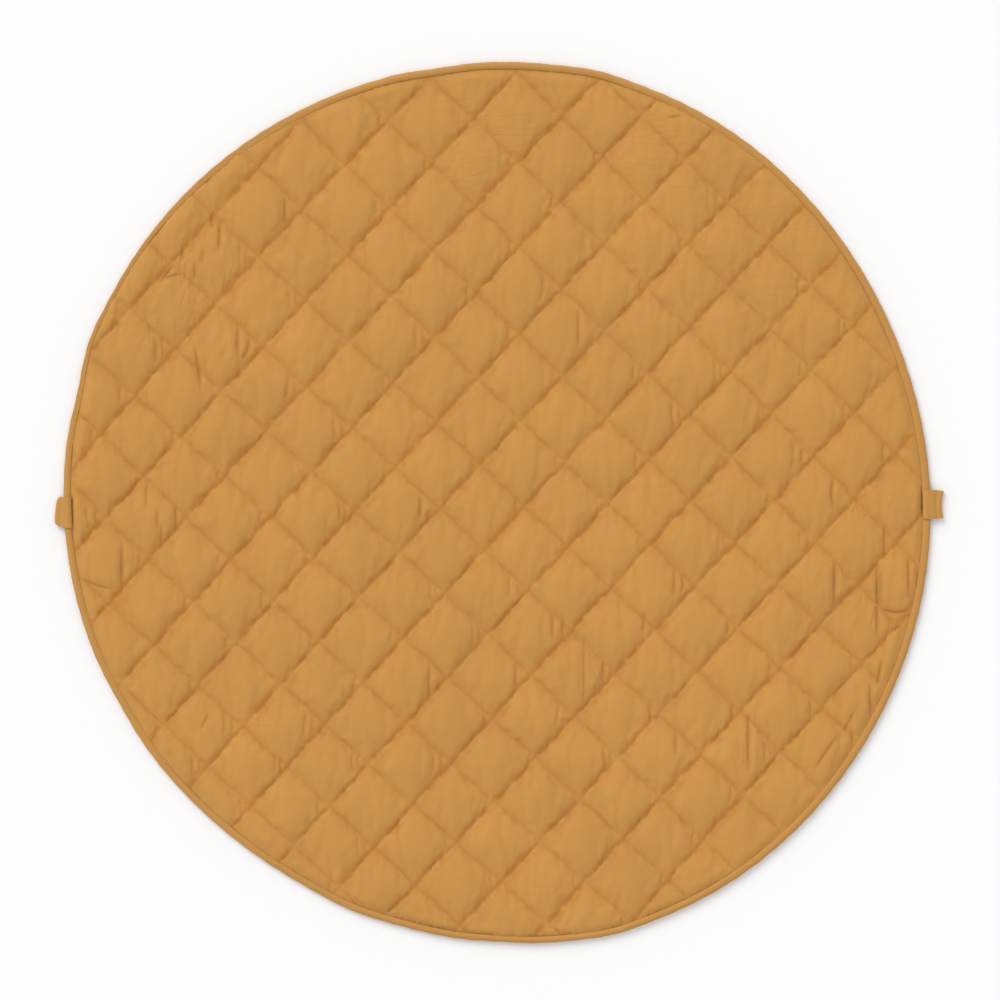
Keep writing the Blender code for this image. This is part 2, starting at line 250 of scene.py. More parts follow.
# Creases that the seams make themselves: one or two upright ones at the right-hand corners of
# the cells that have none of the table. Distances from the corner in millimetres
CORNER_CHANCE = 0.7
SECOND_CHANCE = 0.4
CORNER_NEAR = (9.0, 17.0)
CORNER_NEXT = (7.0, 12.0)
CORNER_DEEP = (0.25, 0.75)
CORNER_CHORD = 1.7
CORNER_CLEAR = 34.0
CORNER_BEHIND = 8.0
CORNER_TURN = 14.0
CORNER_BEND = 5.0
# Section of a crease in millimetres: a soft trough between two low ridges, with a sharp fold in
# its middle. Shares are of its depth, and the fade at the ends is in half lengths
TROUGH_WIDTH = 4.2
TROUGH_SHARE = 1.5
RIDGE_PLACE = 1.9
RIDGE_SHARE = 0.5
RIDGE_UNEVEN = (0.6, 1.4)
FOLD_WIDTH = 2.2
FOLD_SHARE = 1.25
FOLD_REACH = 7.0
FOLD_END = 1.3
BEND_END = 1.5
# A crease fades out this near to a seam, as a part of the rise of the puff
SEAM_HELD = 0.6

# Places where the cloth is gathered more than elsewhere, and where it has level wrinkles, in
# metres. They fade outward from the core of the patch
PATCH_CORE = 0.3
Patch = namedtuple("Patch", "x y reach strength")
GATHERED = (
    Patch(x=-0.41, y=0.33, reach=0.10, strength=0.50),
    Patch(x=-0.46, y=0.24, reach=0.07, strength=0.35),
    Patch(x=0.50, y=0.00, reach=0.07, strength=0.30),
    Patch(x=0.53, y=-0.15, reach=0.08, strength=0.50),
    Patch(x=0.46, y=-0.11, reach=0.05, strength=0.4),
    Patch(x=0.34, y=-0.33, reach=0.07, strength=0.4),
    Patch(x=0.12, y=-0.24, reach=0.06, strength=0.4),
    Patch(x=-0.36, y=0.21, reach=0.05, strength=0.5),
)
WRINKLED = (
    Patch(x=-0.02, y=0.52, reach=0.13, strength=0.16),
    Patch(x=-0.03, y=0.45, reach=0.07, strength=0.14),
    Patch(x=0.24, y=0.47, reach=0.12, strength=0.18),
    Patch(x=0.42, y=0.34, reach=0.12, strength=0.16),
    Patch(x=-0.54, y=0.05, reach=0.10, strength=0.11),
    Patch(x=-0.33, y=-0.33, reach=0.10, strength=0.10),
)
# Gathers along the seams and at the corners of the cells, with their reach in parts of a cell
GATHER_AT_SEAM = 0.20
GATHER_REACH = 0.14
GATHER_AT_CORNER = 0.40
CORNER_CORE = 0.08
CORNER_REACH = 0.45

# Rolled binding, folded over the hem: heights, and how far round the roll its lips start
BINDING_TOP = 0.0090
BINDING_UNDER = 0.0003
BINDING_MIDDLE = (BINDING_TOP + BINDING_UNDER) / 2.0
LIP_TURN = 29.0
LIP_SLOPE = 0.003
BINDING_CLOTH = 0.0008
BINDING_GAP = 0.0002
LIP_TOP = HEM_TOP + BINDING_CLOTH + BINDING_GAP
RIM_STEPS = 1400
SECTION_STEPS = 20
OFF_FLOOR = 0.0001
RIPPLE_SLANT = 0.012
RIPPLE_FINE = 0.6
# The lapped end: where it lies, how thick it is, and where it rises, stays level and fades
LAP_ANGLE = 101.7
LAP_HEIGHT = 0.0007
LAP_RISE = 0.0016
LAP_LEVEL = 0.006
LAP_FADE = 0.045
# Beside the tabs the under lip lifts to make room for their cloth
LIFTED = 0.0019
LIFT_FULL = 0.026
LIFT_END = 0.050

# Tabs: where the strip starts on the binding, leaves it, folds and ends, in metres
TAB_TIP = 0.6116
TAB_START_DEPTH = 0.0106
TAB_LEAVE_DEPTH = 0.002
TAB_CLEAR = 0.0006
TAB_OFF_FLOOR = 0.0002
TAB_FOLD_TOP = 0.0078
TAB_EDGE = 0.0004
TAB_EDGE_ANGLE = math.radians(50.0)
NECK_PLACE = 0.70
NECK_SPREAD = 0.24
CORNER_SHARPNESS = 14
TAPER_START = 0.3
EDGE_ROUNDS = 8
TAB_OVER_STEPS = 12
TAB_OUT_STEPS = 9
TAB_FOLD_STEPS = 14
TAB_BACK_STEPS = 8
TAB_ACROSS_STEPS = 28
# Shorts are how far the fold at each place across the strip stays behind the tip, corners how far
# the fold rounds back at a corner, tapers how far a side draws in, neck how far the strip dips
# behind its rolled end, and cut is the length of the flat strip
Tab = namedtuple("Tab", "name side middle width upper_short middle_short lower_short "
                        "upper_corner lower_corner upper_taper lower_taper neck cut")
TABS = (
    Tab(name="left_tab", side=-1, middle=-0.0136, width=0.043, upper_short=0.0032,
        middle_short=0.0012, lower_short=0.0, upper_corner=0.0036, lower_corner=0.0014,
        upper_taper=0.0008, lower_taper=0.0062, neck=0.0006, cut=0.053),
    Tab(name="right_tab", side=1, middle=-0.0026, width=0.040, upper_short=0.0,
        middle_short=0.0030, lower_short=0.0006, upper_corner=0.0002, lower_corner=0.0002,
        upper_taper=0.0016, lower_taper=0.0012, neck=0.0020, cut=0.053),
)

# Sewing thread: the pitch of its stitches in metres, and their length, unevenness and first place
# in parts of the pitch. A stitch is a ball of a few faces, and vertices nearer to its middle than
# STITCH_TIP move out by STITCH_SHOULDER. THREAD_FLAT and THREAD_OUT are the height of a quilting
# stitch and how far its middle lies outside the seam, in parts of its width
STITCH_PITCH = 0.0036
STITCH_PART = 0.74
STITCH_UNEVEN = 0.04
FIRST_STITCH = 0.2
STITCH_SIDES = 4
STITCH_RINGS = 3
STITCH_SHOULDER = 1.5
STITCH_TIP = 0.45
THREAD_FLAT = 0.7
THREAD_OUT = 0.25
SEAM_SAMPLES = 4000
SEAM_END = 0.001
FEWEST_SAMPLES = 100
TAB_ROW_INSET = 0.0028
TAB_THREAD_WIDTH = 0.0006
TAB_THREAD_HEIGHT = 0.0005

# Stage, in metres, with the camera straight above the middle of the picture
FLOOR_SIZE = 8.0
CAMERA_HEIGHT = 6.0
CAMERA_X = 0.0012
CAMERA_Y = 0.0022
VIEW_WIDTH = 1.376
SENSOR = 36.0
FURTHEST_SEEN = 50.0

# The Wave texture repeats every pi / 10 of its scaled coordinates
WAVE_REPEAT = math.pi / 10.0
# Real threads of this cotton lie about 0.45 mm apart; drawn 0.9 mm apart so that they show at all
THREAD_SPACING = 0.0009
SLUB_WIDTH = 0.0024
SLUB_LENGTH = 0.045
MOTTLE_SIZE = 0.13
# Turns of the thread's plies and grains of the paper, to a metre
TWISTS = 900.0
GRAINS = 240.0

# Gathers, wrinkles and folds drawn by the shader, in metres
PUCKER_WIDTH = 0.015
PUCKER_LENGTH = 0.034
PUCKER_DEPTH = 0.0016
PUCKER_SPREAD = 0.30
WRINKLE_WIDTH = 0.0100
WRINKLE_LENGTH = 0.050
# Painted shade, a deeper colour, in the folds for each metre of their depth, and beside the seams:
# how far a soft band and a narrow line of painted shade reach and the line wanders, in parts of a
# cell, and how deep they are
FOLD_PAINTED_SHADE = 120.0
SEAM_BAND = 0.18
SEAM_LINE = 0.045
BAND_PAINTED_SHADE = 0.16
LINE_PAINTED_SHADE = 0.18
FALLING_SHARE = 0.35
SEAM_WAVE = 0.075
SEAM_WAVE_SIZE = 0.015

CLOTH_COLOUR = "#C68E43"
BINDING_COLOUR = "#C18B43"
TAB_COLOUR = "#C48E45"
THREAD_COLOUR = "#C28B41"
FLOOR_COLOUR = "#F7F7F7"


def linear(colour):
    """Linear colour of an sRGB hex value."""
    parts = [int(colour[at:at + 2], 16) / 255.0 for at in (1, 3, 5)]
    return [part / 12.92 if part <= 0.04045 else ((part + 0.055) / 1.055) ** 2.4
            for part in parts]


def smooth(value, start, end):
    """Smooth change from 0 at the start value to 1 at the end value."""
    part = np.clip((value - start) / (end - start), 0.0, 1.0)
    return part * part * (3.0 - 2.0 * part)


def between(ends, part):
    """The value part of the way from the first to the second of two ends."""
    return ends[0] + (ends[1] - ends[0]) * part


def away_from(angle, middle):
    """Angle between directions and a middle one, from -180 to 180 degrees."""
    return (angle - middle + 180.0) % 360.0 - 180.0


def edge_radius(angle):
    """Radius of the binding's outer edge at angles about the middle of the mat."""
    radius = MEAN_RADIUS + np.zeros_like(angle)
    for lobe in LOBES:
        radius += lobe.depth * np.cos(lobe.count * np.radians(angle - lobe.crest))
    for bump in BUMPS:
        away = away_from(angle, bump.angle) / bump.width
        radius += bump.depth * np.exp(-away * away)
    return radius


def along_lips(angle, change, usual):
    """One size of the binding at angles about the middle of the mat, from its table of changes."""
    size = usual + np.zeros_like(angle)
    for lip in LIPS:
        away = away_from(angle, lip.angle) / lip.spread
        size += getattr(lip, change) * np.exp(-away * away)
    return size


def lip_depth(angle):
    """Depth of the binding's inner edge at angles about the middle of the mat."""
    return along_lips(angle, "wider", LIP_DEPTH)


def polar(x, y):
    """Angle in degrees and depth inside the outer edge of plan points."""
    angle = np.degrees(np.arctan2(y, x))
    return angle, edge_radius(angle) - np.hypot(x, y)


def centre_shift():
    """How far the plan moves in Y so that the outline stands centred on the origin."""
    angle = 360.0 * np.arange(CENTRE_SAMPLES) / CENTRE_SAMPLES
    height = edge_radius(angle) * np.sin(np.radians(angle))
    return -(height.max() + height.min()) / 2.0


SHIFT = centre_shift()


def line_across(rows, index, along):
    """Where lines run across their direction: whole indexes are seams, parts lie between."""
    offset = np.array([seam.offset for seam in rows])
    tilt = np.tan(np.radians([seam.tilt for seam in rows]))
    bow = np.array([seam.bow for seam in rows])
    half_chord = MEAN_RADIUS ** 2 - offset ** 2
    low = np.floor(index).astype(int)
    found = []
    for row in (low, low + 1):
        nearest = np.clip(row, 0, len(rows) - 1)
        bend = bow[nearest] * (1.0 - along * along / half_chord[nearest])
        line = offset[nearest] + tilt[nearest] * along + bend
        found.append(line + (row - nearest) * PITCH)
    return found[0] + (index - low) * (found[1] - found[0])


def pushed_wave(wave, along, beside, start=0.0, inner_start=0.0):
    """A sine wave along a line, pushed to and fro by another one."""
    push = wave.swing * np.sin(beside * wave.rate + inner_start)
    return np.sin(2.0 * np.pi * along / wave.length + push + start)


def wander(along, beside, phase):
    """Small sideways wandering of hand-guided seams and of the cloth that they gather."""
    slow = pushed_wave(SLOW_WANDER, along, beside, start=phase)
    fast = pushed_wave(FAST_WANDER, along, beside, inner_start=phase)
    comes = np.sin(beside * FAST_COMES[0] + along * FAST_COMES[1])
    return WANDER * (SLOW_SHARE * slow + (1.0 - SLOW_SHARE) * fast * comes)


def crossing(rising, falling):
    """Plan points where lines of the two directions cross."""
    across = np.zeros_like(rising)
    along = np.zeros_like(falling)
    for _ in range(CROSSING_ROUNDS):
        across = line_across(RISING, rising, along)
        along = line_across(FALLING, falling, -across)
    x, y = DIAGONAL * (along - across), DIAGONAL * (along + across)
    return x + wander(x, y, 0.0), y + wander(y, x, 2.0)


def crowded(steps):
    """Indexes of the grid lines of one direction, closer together near the seams."""
    index = np.arange(-steps, steps * (len(RISING) + 1) + 1) / steps
    return index - SEAM_CROWDING * np.sin(2.0 * np.pi * index) / (2.0 * np.pi)


def pillow(rising, falling, roundness):
    """Rise of the puffs: 0 on the seams and 1 in the middle of a cell."""
    rise = 1.0
    for index in (rising, falling):
        part = index % 1.0
        rise = rise * np.clip(4.0 * part * (1.0 - part), 0.0, 1.0) ** roundness
    return rise


def seam_height(angle, depth, seam_top):
    """Height of the upper cloth on a seam, up at the hem and down further in."""
    lip = lip_depth(angle)
    return HEM_TOP + (seam_top - HEM_TOP) * smooth(depth, lip, lip + SLOPE_DEPTH - LIP_DEPTH)


def corner_creases(random):
    """Upright creases at the right-hand corners of the cells, where the seams gather the cloth."""
    rising, falling = np.meshgrid(np.arange(len(RISING)), np.arange(len(FALLING)))
    x, y = crossing(rising.ravel().astype(float), falling.ravel().astype(float))
    found = []
    for right, up in zip(x * 1000.0, y * 1000.0):
        chance, near, again, first, other, lean, curl, gap = random.uniform(size=8)
        taken = any(abs(crease.y - up) < CORNER_CLEAR
                    and -CORNER_BEHIND < right - crease.x < CORNER_CLEAR for crease in CREASES)
        if taken or chance > CORNER_CHANCE:
            continue
        away = between(CORNER_NEAR, near)
        for deep in (first, other) if again < SECOND_CHANCE else (first,):
            found.append(Crease(x=right - away, y=up, turn=90.0 + CORNER_TURN * (lean - 0.5),
                                length=CORNER_CHORD * away, deep=between(CORNER_DEEP, deep),
                                bend=CORNER_BEND * (curl - 0.5)))
            away += between(CORNER_NEXT, gap)
    return found


def beside_crease(crease, x, y):
    """Millimetres across a crease, and along it from -1 at one end to 1 at the other."""
    turn = math.radians(crease.turn)
    right, up = x * 1000.0 - crease.x, y * 1000.0 - crease.y
    along = (right * math.cos(turn) + up * math.sin(turn)) / (crease.length / 2.0)
    across = up * math.cos(turn) - right * math.sin(turn)
    return across + crease.bend * np.minimum(along * along, BEND_END), along


def crease_height(x, y, creases, random):
    """Rise and fall of the creases: a soft trough with a low ridge at each side."""
    height = np.zeros_like(x)
    for crease in creases:
        across, along = beside_crease(crease, x, y)
        across = across / TROUGH_WIDTH
        fade = np.clip(1.0 - along * along, 0.0, 1.0)
        left = np.exp(-(across - RIDGE_PLACE) ** 2)
        right = random.uniform(*RIDGE_UNEVEN) * np.exp(-(across + RIDGE_PLACE) ** 2)
        section = RIDGE_SHARE * (left + right) - np.exp(-across ** 2)
        height += TROUGH_SHARE * crease.deep / 1000.0 * fade * section
    return height


def write_creases(mesh, creases):
    """Store at every corner of a face where it lies beside its nearest crease: widths across,
    half lengths along, and the depth in metres of the sharp fold in the middle of the crease."""
    place = points_of(mesh)
    corners = corners_of(mesh)
    totals = np.empty(len(mesh.polygons), dtype=int)
    mesh.polygons.foreach_get("loop_total", totals)
    centres = np.empty(len(mesh.polygons) * 3)
    mesh.polygons.foreach_get("center", centres)
    centres = centres.reshape(-1, 3)
    nearest = np.full(len(totals), FOLD_REACH)
    owner = np.full(len(totals), -1)
    for number, crease in enumerate(creases):
        across, along = beside_crease(crease, centres[:, 0], centres[:, 1])
        closer = (np.abs(across) < nearest) & (np.abs(along) < FOLD_END)
        nearest[closer] = np.abs(across)[closer]
        owner[closer] = number
    owner = np.repeat(owner, totals)
    values = np.zeros((len(corners), 3))
    for number, crease in enumerate(creases):
        mine = owner == number
        across, along = beside_crease(crease, *place[corners[mine], :2].T)
        deep = np.full(len(along), FOLD_SHARE * crease.deep / 1000.0)
        values[mine] = np.stack([across / FOLD_WIDTH, along, deep], axis=1)
    kept = mesh.attributes.new("creases", "FLOAT_VECTOR", "CORNER")
    kept.data.foreach_set("vector", values.ravel())


def patchy(x, y, patches):
    """How strongly the cloth is gathered, from a table of round patches that fade outward."""
    strength = np.zeros_like(x)
    for patch in patches:
        away = np.hypot(x - patch.x, y - patch.y)
        strength += patch.strength * (1.0 - smooth(away, PATCH_CORE * patch.reach, patch.reach))
    return strength


def cell_draws(rising, falling, random):
    """One random number from 0 to 1 for each cell, given at every vertex of the cell."""
    draws = random.uniform(size=(len(RISING) + 2 * SPARE_CELLS, len(FALLING) + 2 * SPARE_CELLS))
    row, column = (np.floor(index + ON_SEAM).astype(int) + SPARE_CELLS
                   for index in (rising, falling))
    return draws[row, column]


def write_gathers(mesh, random):
    """Store how much the cloth is gathered upright and wrinkled level: at the right-hand corner
    of some cells, a little along every seam, and in the places of the tables."""
    place = points_of(mesh)
    rising, falling = seam_indexes(mesh)
    corner = np.hypot(rising % 1.0, 1.0 - falling % 1.0)
    chance = GATHER_AT_CORNER * cell_draws(rising, falling, random)
    seam = np.maximum(np.abs(rising % 1.0 - 0.5), np.abs(falling % 1.0 - 0.5))
    upright = chance * (1.0 - smooth(corner, CORNER_CORE, CORNER_REACH))
    upright += GATHER_AT_SEAM * smooth(seam, 0.5 - GATHER_REACH, 0.5)
    upright += patchy(place[:, 0], place[:, 1], GATHERED)
    level = patchy(place[:, 0], place[:, 1], WRINKLED)
    kept = mesh.attributes.new("gathers", "FLOAT_VECTOR", "POINT")
    amounts = np.stack([upright, level, np.zeros_like(level)], axis=1)
    kept.data.foreach_set("vector", amounts.ravel())


def name_piece(name):
    """Name the object that an operator has just added, and its mesh."""
    piece = bpy.context.object
    piece.name = name
    piece.data.name = name
    return piece


def points_of(mesh):
    """The places of a mesh's vertices, one row each."""
    place = np.empty(len(mesh.vertices) * 3)
    mesh.vertices.foreach_get("co", place)
    return place.reshape(-1, 3)


def corners_of(mesh):
    """The vertex at each corner of a mesh's faces."""
    corners = np.empty(len(mesh.loops), dtype=int)
    mesh.loops.foreach_get("vertex_index", corners)
    return corners


def place_points(mesh, place):
    """Move a mesh's vertices to new places."""
    mesh.vertices.foreach_set("co", np.ascontiguousarray(place).ravel())
    mesh.update()


def write_uv(mesh, name, values):
    """Rename the mesh's UV map and fill it with one pair of values for each vertex."""
    layer = mesh.uv_layers[0]
    layer.name = name
    layer.uv.foreach_set("vector", values[corners_of(mesh)].ravel())


def flat_grid(name, columns, rows):
    """A grid of vertices. Returns the piece and each vertex's column and row."""
    bpy.ops.object.select_all(action="DESELECT")
    bpy.ops.mesh.primitive_grid_add(x_subdivisions=columns, y_subdivisions=rows, size=2.0)
    piece = name_piece(name)
    place = points_of(piece.data)
    column = np.rint((place[:, 0] + 1.0) / 2.0 * columns).astype(int)
    row = np.rint((place[:, 1] + 1.0) / 2.0 * rows).astype(int)
    return piece, column, row


def edit_mesh(piece, *steps):
    """Run edit-mode steps on one piece and nothing else."""
    bpy.ops.object.select_all(action="DESELECT")
    piece.select_set(True)
    bpy.context.view_layer.objects.active = piece
    bpy.ops.object.mode_set(mode="EDIT")
    for step in steps:
        step()
    bpy.ops.object.mode_set(mode="OBJECT")


def select_faces(mesh, chosen):
    """Select the chosen faces of a mesh and nothing else."""
    mesh.vertices.foreach_set("select", np.zeros(len(mesh.vertices), dtype=bool))
    mesh.edges.foreach_set("select", np.zeros(len(mesh.edges), dtype=bool))
    mesh.polygons.foreach_set("select", chosen)


def merge_doubles(distance):
    """Merge the vertices of the mesh in edit mode that lie closer than a distance."""
    bpy.ops.mesh.select_all(action="SELECT")
    bpy.ops.mesh.remove_doubles(threshold=distance)


def close_rim():
    """Bridge the two open edges of the mesh in edit mode and turn its faces outward."""
    bpy.ops.mesh.select_mode(type="EDGE")
    bpy.ops.mesh.select_all(action="DESELECT")
    bpy.ops.mesh.select_non_manifold(extend=False, use_wire=False, use_boundary=True,
                                     use_multi_face=False, use_non_contiguous=False,
                                     use_verts=False)
    bpy.ops.mesh.bridge_edge_loops()
    bpy.ops.mesh.select_all(action="SELECT")
    bpy.ops.mesh.normals_make_consistent(inside=False)


def border(mesh):
    """Which vertices lie on the open edge of a sheet."""
    edges = np.empty(len(mesh.edges) * 2, dtype=int)
    mesh.edges.foreach_get("vertices", edges)
    loops = np.empty(len(mesh.loops), dtype=int)
    mesh.loops.foreach_get("edge_index", loops)
    uses = np.bincount(loops, minlength=len(mesh.edges))
    found = np.zeros(len(mesh.vertices), dtype=bool)
    found[edges.reshape(-1, 2)[uses == 1].ravel()] = True
    return found


def cloth_grid(name, steps):
    """A grid laid along the seams and cut off at the hem, with each vertex's seam indexes."""
    lines = crowded(steps)
    piece, column, row = flat_grid(name, len(lines) - 1, len(lines) - 1)
    mesh = piece.data
    falling, rising = lines[column], lines[row]
    x, y = crossing(rising, falling)
    indexes = np.stack([rising, falling], axis=1)
    kept = mesh.attributes.new("seam_index", "FLOAT2", "POINT")
    kept.data.foreach_set("vector", indexes.ravel())
    write_uv(mesh, "seams", indexes)
    place_points(mesh, np.stack([x, y, np.zeros_like(x)], axis=1))
    depth = polar(x, y)[1][corners_of(mesh).reshape(-1, 4)]
    select_faces(mesh, depth.min(axis=1) < HEM_DEPTH)
    edit_mesh(piece, lambda: bpy.ops.mesh.delete(type="FACE"))
    slide_to_hem(mesh)
    edit_mesh(piece, lambda: merge_doubles(MERGE))
    return piece


def slide_to_hem(mesh):
    """Slide the ragged border of a cut grid out to the smooth line of the hem."""
    place = points_of(mesh)
    edge = border(mesh)
    angle = np.arctan2(place[edge, 1], place[edge, 0])
    radius = edge_radius(np.degrees(angle)) - HEM_DEPTH
    place[edge, 0] = radius * np.cos(angle)
    place[edge, 1] = radius * np.sin(angle)
    place_points(mesh, place)


def seam_indexes(mesh):
    """The rising and falling index of each vertex."""
    found = np.empty(len(mesh.vertices) * 2)
    mesh.attributes["seam_index"].data.foreach_get("vector", found)
    return found.reshape(-1, 2).T


def upper_cloth(sizes):
    """The upper cloth, blown up between its seams by a cloth simulation, then creased."""
    sheet = cloth_grid("quilted_cloth", TOP_STEPS)
    place = points_of(sheet.data)
    rising, falling = seam_indexes(sheet.data)
    angle, depth = polar(place[:, 0], place[:, 1])
    lip = lip_depth(angle)
    rise = pillow(rising, falling, PUFF_ROUNDNESS)
    rim_round = along_lips(angle, "rounder", RIM_ROUND)
    rim_rise = smooth(depth - lip, RIM_LOW, RIM_LOW + rim_round) ** RIM_ROUNDNESS
    low = seam_height(angle, depth, sizes.seam_height)
    beside = smooth(depth, lip - FLUSH_UNDER, lip + FLUSH_RISE)
    beside *= 1.0 - smooth(depth, lip + FLUSH_RISE, lip + RIM_ROUND)
    low += along_lips(angle, "flush", 0.0) * beside
    random = np.random.default_rng(SEED)
    write_gathers(sheet.data, random)
    uneven = 1.0 + CELL_UNEVEN * (2.0 * cell_draws(rising, falling, random) - 1.0)
    place[:, 2] = low + (sizes.puff_height * uneven - low) * rise * rim_rise
    stitched = (rise < STITCHED_RISE) | (depth < lip + RIM_HELD)
    place[:, 2] += np.where(stitched, 0.0, random.normal(0.0, STARTING_NOISE, len(place)))
    place_points(sheet.data, place)
    group = sheet.vertex_groups.new(name="stitched")
    group.add(np.nonzero(stitched)[0].tolist(), 1.0, "REPLACE")
    puff_up(sheet, sizes)
    sheet.vertex_groups.clear()
    place = points_of(sheet.data)
    creases = [*CREASES, *corner_creases(random)]
    held = smooth(np.minimum(rise * rim_rise, SEAM_HELD), 0.0, SEAM_HELD)
    place[:, 2] += crease_height(place[:, 0], place[:, 1], creases, random) * held
    place_points(sheet.data, place)
    write_creases(sheet.data, creases)
    return sheet


def puff_up(sheet, sizes):
    """Let the cloth between the seams swell and pucker, held at its stitches."""
    drawn_in = points_of(sheet.data)
    wider = np.array([1.0 + sizes.spare_across, 1.0, 1.0])
    place_points(sheet.data, drawn_in * wider)
    sheet.shape_key_add(name="as cut")
    key = sheet.shape_key_add(name="drawn in")
    key.data.foreach_set("co", drawn_in.ravel())
    for value, step in ((0.0, 1), (1.0, DRAW_FRAMES)):
        key.value = value
        key.keyframe_insert("value", frame=step)
    cloth = sheet.modifiers.new("puff", "CLOTH")
    settings = cloth.settings
    settings.quality = CLOTH_QUALITY
    settings.mass = CLOTH_MASS
    settings.air_damping = CLOTH_DAMPING
    settings.tension_stiffness = CLOTH_STIFFNESS
    settings.compression_stiffness = CLOTH_STIFFNESS
    settings.shear_stiffness = CLOTH_SHEAR
    settings.bending_stiffness = CLOTH_BENDING
    settings.vertex_group_mass = "stitched"
    settings.shrink_min = -sizes.spare_all
    settings.use_pressure = True
    settings.uniform_pressure_force = sizes.pressure
    settings.effector_weights.gravity = 0.0
    cloth.collision_settings.use_collision = False
    scene = bpy.context.scene
    for step in range(1, CLOTH_FRAMES + 1):
        scene.frame_set(step)
    swollen = sheet.evaluated_get(bpy.context.evaluated_depsgraph_get())
    place = points_of(swollen.data)
    if np.abs(place - drawn_in).max() > FURTHEST_SWELL or not np.isfinite(place).all():
        raise RuntimeError("the cloth simulation has thrown the upper cloth about")
    sheet.modifiers.remove(cloth)
    sheet.shape_key_clear()
    place_points(sheet.data, place)
    scene.frame_set(1)


def under_cloth():
    """The under cloth, flat on the floor between its seams."""
    sheet = cloth_grid("under_cloth", UNDER_STEPS)
    place = points_of(sheet.data)
    rising, falling = seam_indexes(sheet.data)
    angle, depth = polar(place[:, 0], place[:, 1])
    quilted = SEAM_UNDER * (1.0 - pillow(rising, falling, UNDER_ROUNDNESS))
    inward = smooth(depth, lip_depth(angle), UNDER_SLOPE_DEPTH)
    place[:, 2] = HEM_UNDER + (quilted - HEM_UNDER) * inward
    place_points(sheet.data, place)
    return sheet


def shift_plan(mesh):
    """Move a finished mesh so that the outline stands centred on the origin."""
    place = points_of(mesh)
    place[:, 1] += SHIFT
    place_points(mesh, place)


def quilted_body(sizes):
    """The whole quilted panel, its upper and under cloth joined at the hem."""
    upper = upper_cloth(sizes)
    under = under_cloth()
    bpy.ops.object.select_all(action="DESELECT")
    under.select_set(True)
    upper.select_set(True)
    bpy.context.view_layer.objects.active = upper
    bpy.ops.object.join()
    edit_mesh(upper, close_rim)
    upper.data.shade_smooth()
    upper.data.attributes.remove(upper.data.attributes["seam_index"])
    shift_plan(upper.data)
    return upper


def stitch_shape():
    """Vertices and triangles of one stitch: a short thread with rounded ends, one long along X."""
    bpy.ops.object.select_all(action="DESELECT")
    bpy.ops.mesh.primitive_uv_sphere_add(segments=STITCH_SIDES, ring_count=STITCH_RINGS,
                                         radius=0.5)
    stitch = name_piece("stitch")
    edit_mesh(stitch, lambda: bpy.ops.mesh.select_all(action="SELECT"),
              lambda: bpy.ops.mesh.quads_convert_to_tris())
    place = points_of(stitch.data)[:, [2, 0, 1]]
    shoulders = np.abs(place[:, 0]) < STITCH_TIP
    place[shoulders, 0] *= STITCH_SHOULDER
    triangles = corners_of(stitch.data).reshape(-1, 3)
    bpy.data.objects.remove(stitch)
    return place, triangles


def sew(name, rows, random, width, height):
    """One mesh with the stitches along every row."""
    runs = [stitches_along(row, random) for row in rows]
    starts, ends = (np.concatenate(side) for side in zip(*runs))
    shape, triangles = stitch_shape()
    reach = ends - starts
    length = np.linalg.norm(reach, axis=1, keepdims=True)
    along = reach / length
    aside = np.cross(np.array([0.0, 0.0, 1.0]), along)
    aside /= np.linalg.norm(aside, axis=1, keepdims=True)
    upward = np.cross(along, aside)
    middle = (starts + ends) / 2.0
    place = (middle[:, None] + shape[None, :, :1] * reach[:, None]
             + shape[None, :, 1:2] * width * aside[:, None]
             + shape[None, :, 2:] * height * upward[:, None])
    first = np.arange(len(starts))[:, None, None] * len(shape)
    faces = (first + triangles[None]).reshape(-1, 3)
    mesh = bpy.data.meshes.new(name)
    mesh.from_pydata(place.reshape(-1, 3).tolist(), [], faces.tolist())
    mesh.shade_smooth()
    piece = bpy.data.objects.new(name, mesh)
    bpy.context.scene.collection.objects.link(piece)
    return piece


def stitches_along(place, random):
    """Starts and ends of the stitches along a line of closely spaced points."""
    walked = np.concatenate([[0.0], np.cumsum(np.linalg.norm(np.diff(place, axis=0), axis=1))])
    begin = np.arange(random.uniform(FIRST_STITCH, 1.0) * STITCH_PITCH,
                      walked[-1] - STITCH_PITCH, STITCH_PITCH)
    begin = begin + random.normal(0.0, STITCH_UNEVEN * STITCH_PITCH, len(begin))
    end = begin + STITCH_PITCH * STITCH_PART
    return [np.stack([np.interp(at, walked, place[:, axis]) for axis in range(3)], axis=1)
            for at in (begin, end)]


def seam_rows(upper, sizes):
    """The lines of the quilting seams on the upper or the under cloth."""
    rows = []
    samples = np.linspace(-1.0, len(RISING), SEAM_SAMPLES)
    for seam in range(len(RISING)):
        fixed = np.full_like(samples, float(seam))
        for x, y in (crossing(fixed, samples), crossing(samples, fixed)):
            angle, depth = polar(x, y)
            lip = lip_depth(angle)
            inside = depth > lip + SEAM_END
            if upper:
                up = seam_height(angle, depth, sizes.seam_height)
                up = up + sizes.thread_width * THREAD_OUT
            else:
                up = HEM_UNDER + (SEAM_UNDER - HEM_UNDER) * smooth(depth, lip, UNDER_SLOPE_DEPTH)
                up = up - sizes.thread_width * THREAD_OUT
            rows.append(np.stack([x, y + SHIFT, up], axis=1)[inside])
    return [row for row in rows if len(row) > FEWEST_SAMPLES]


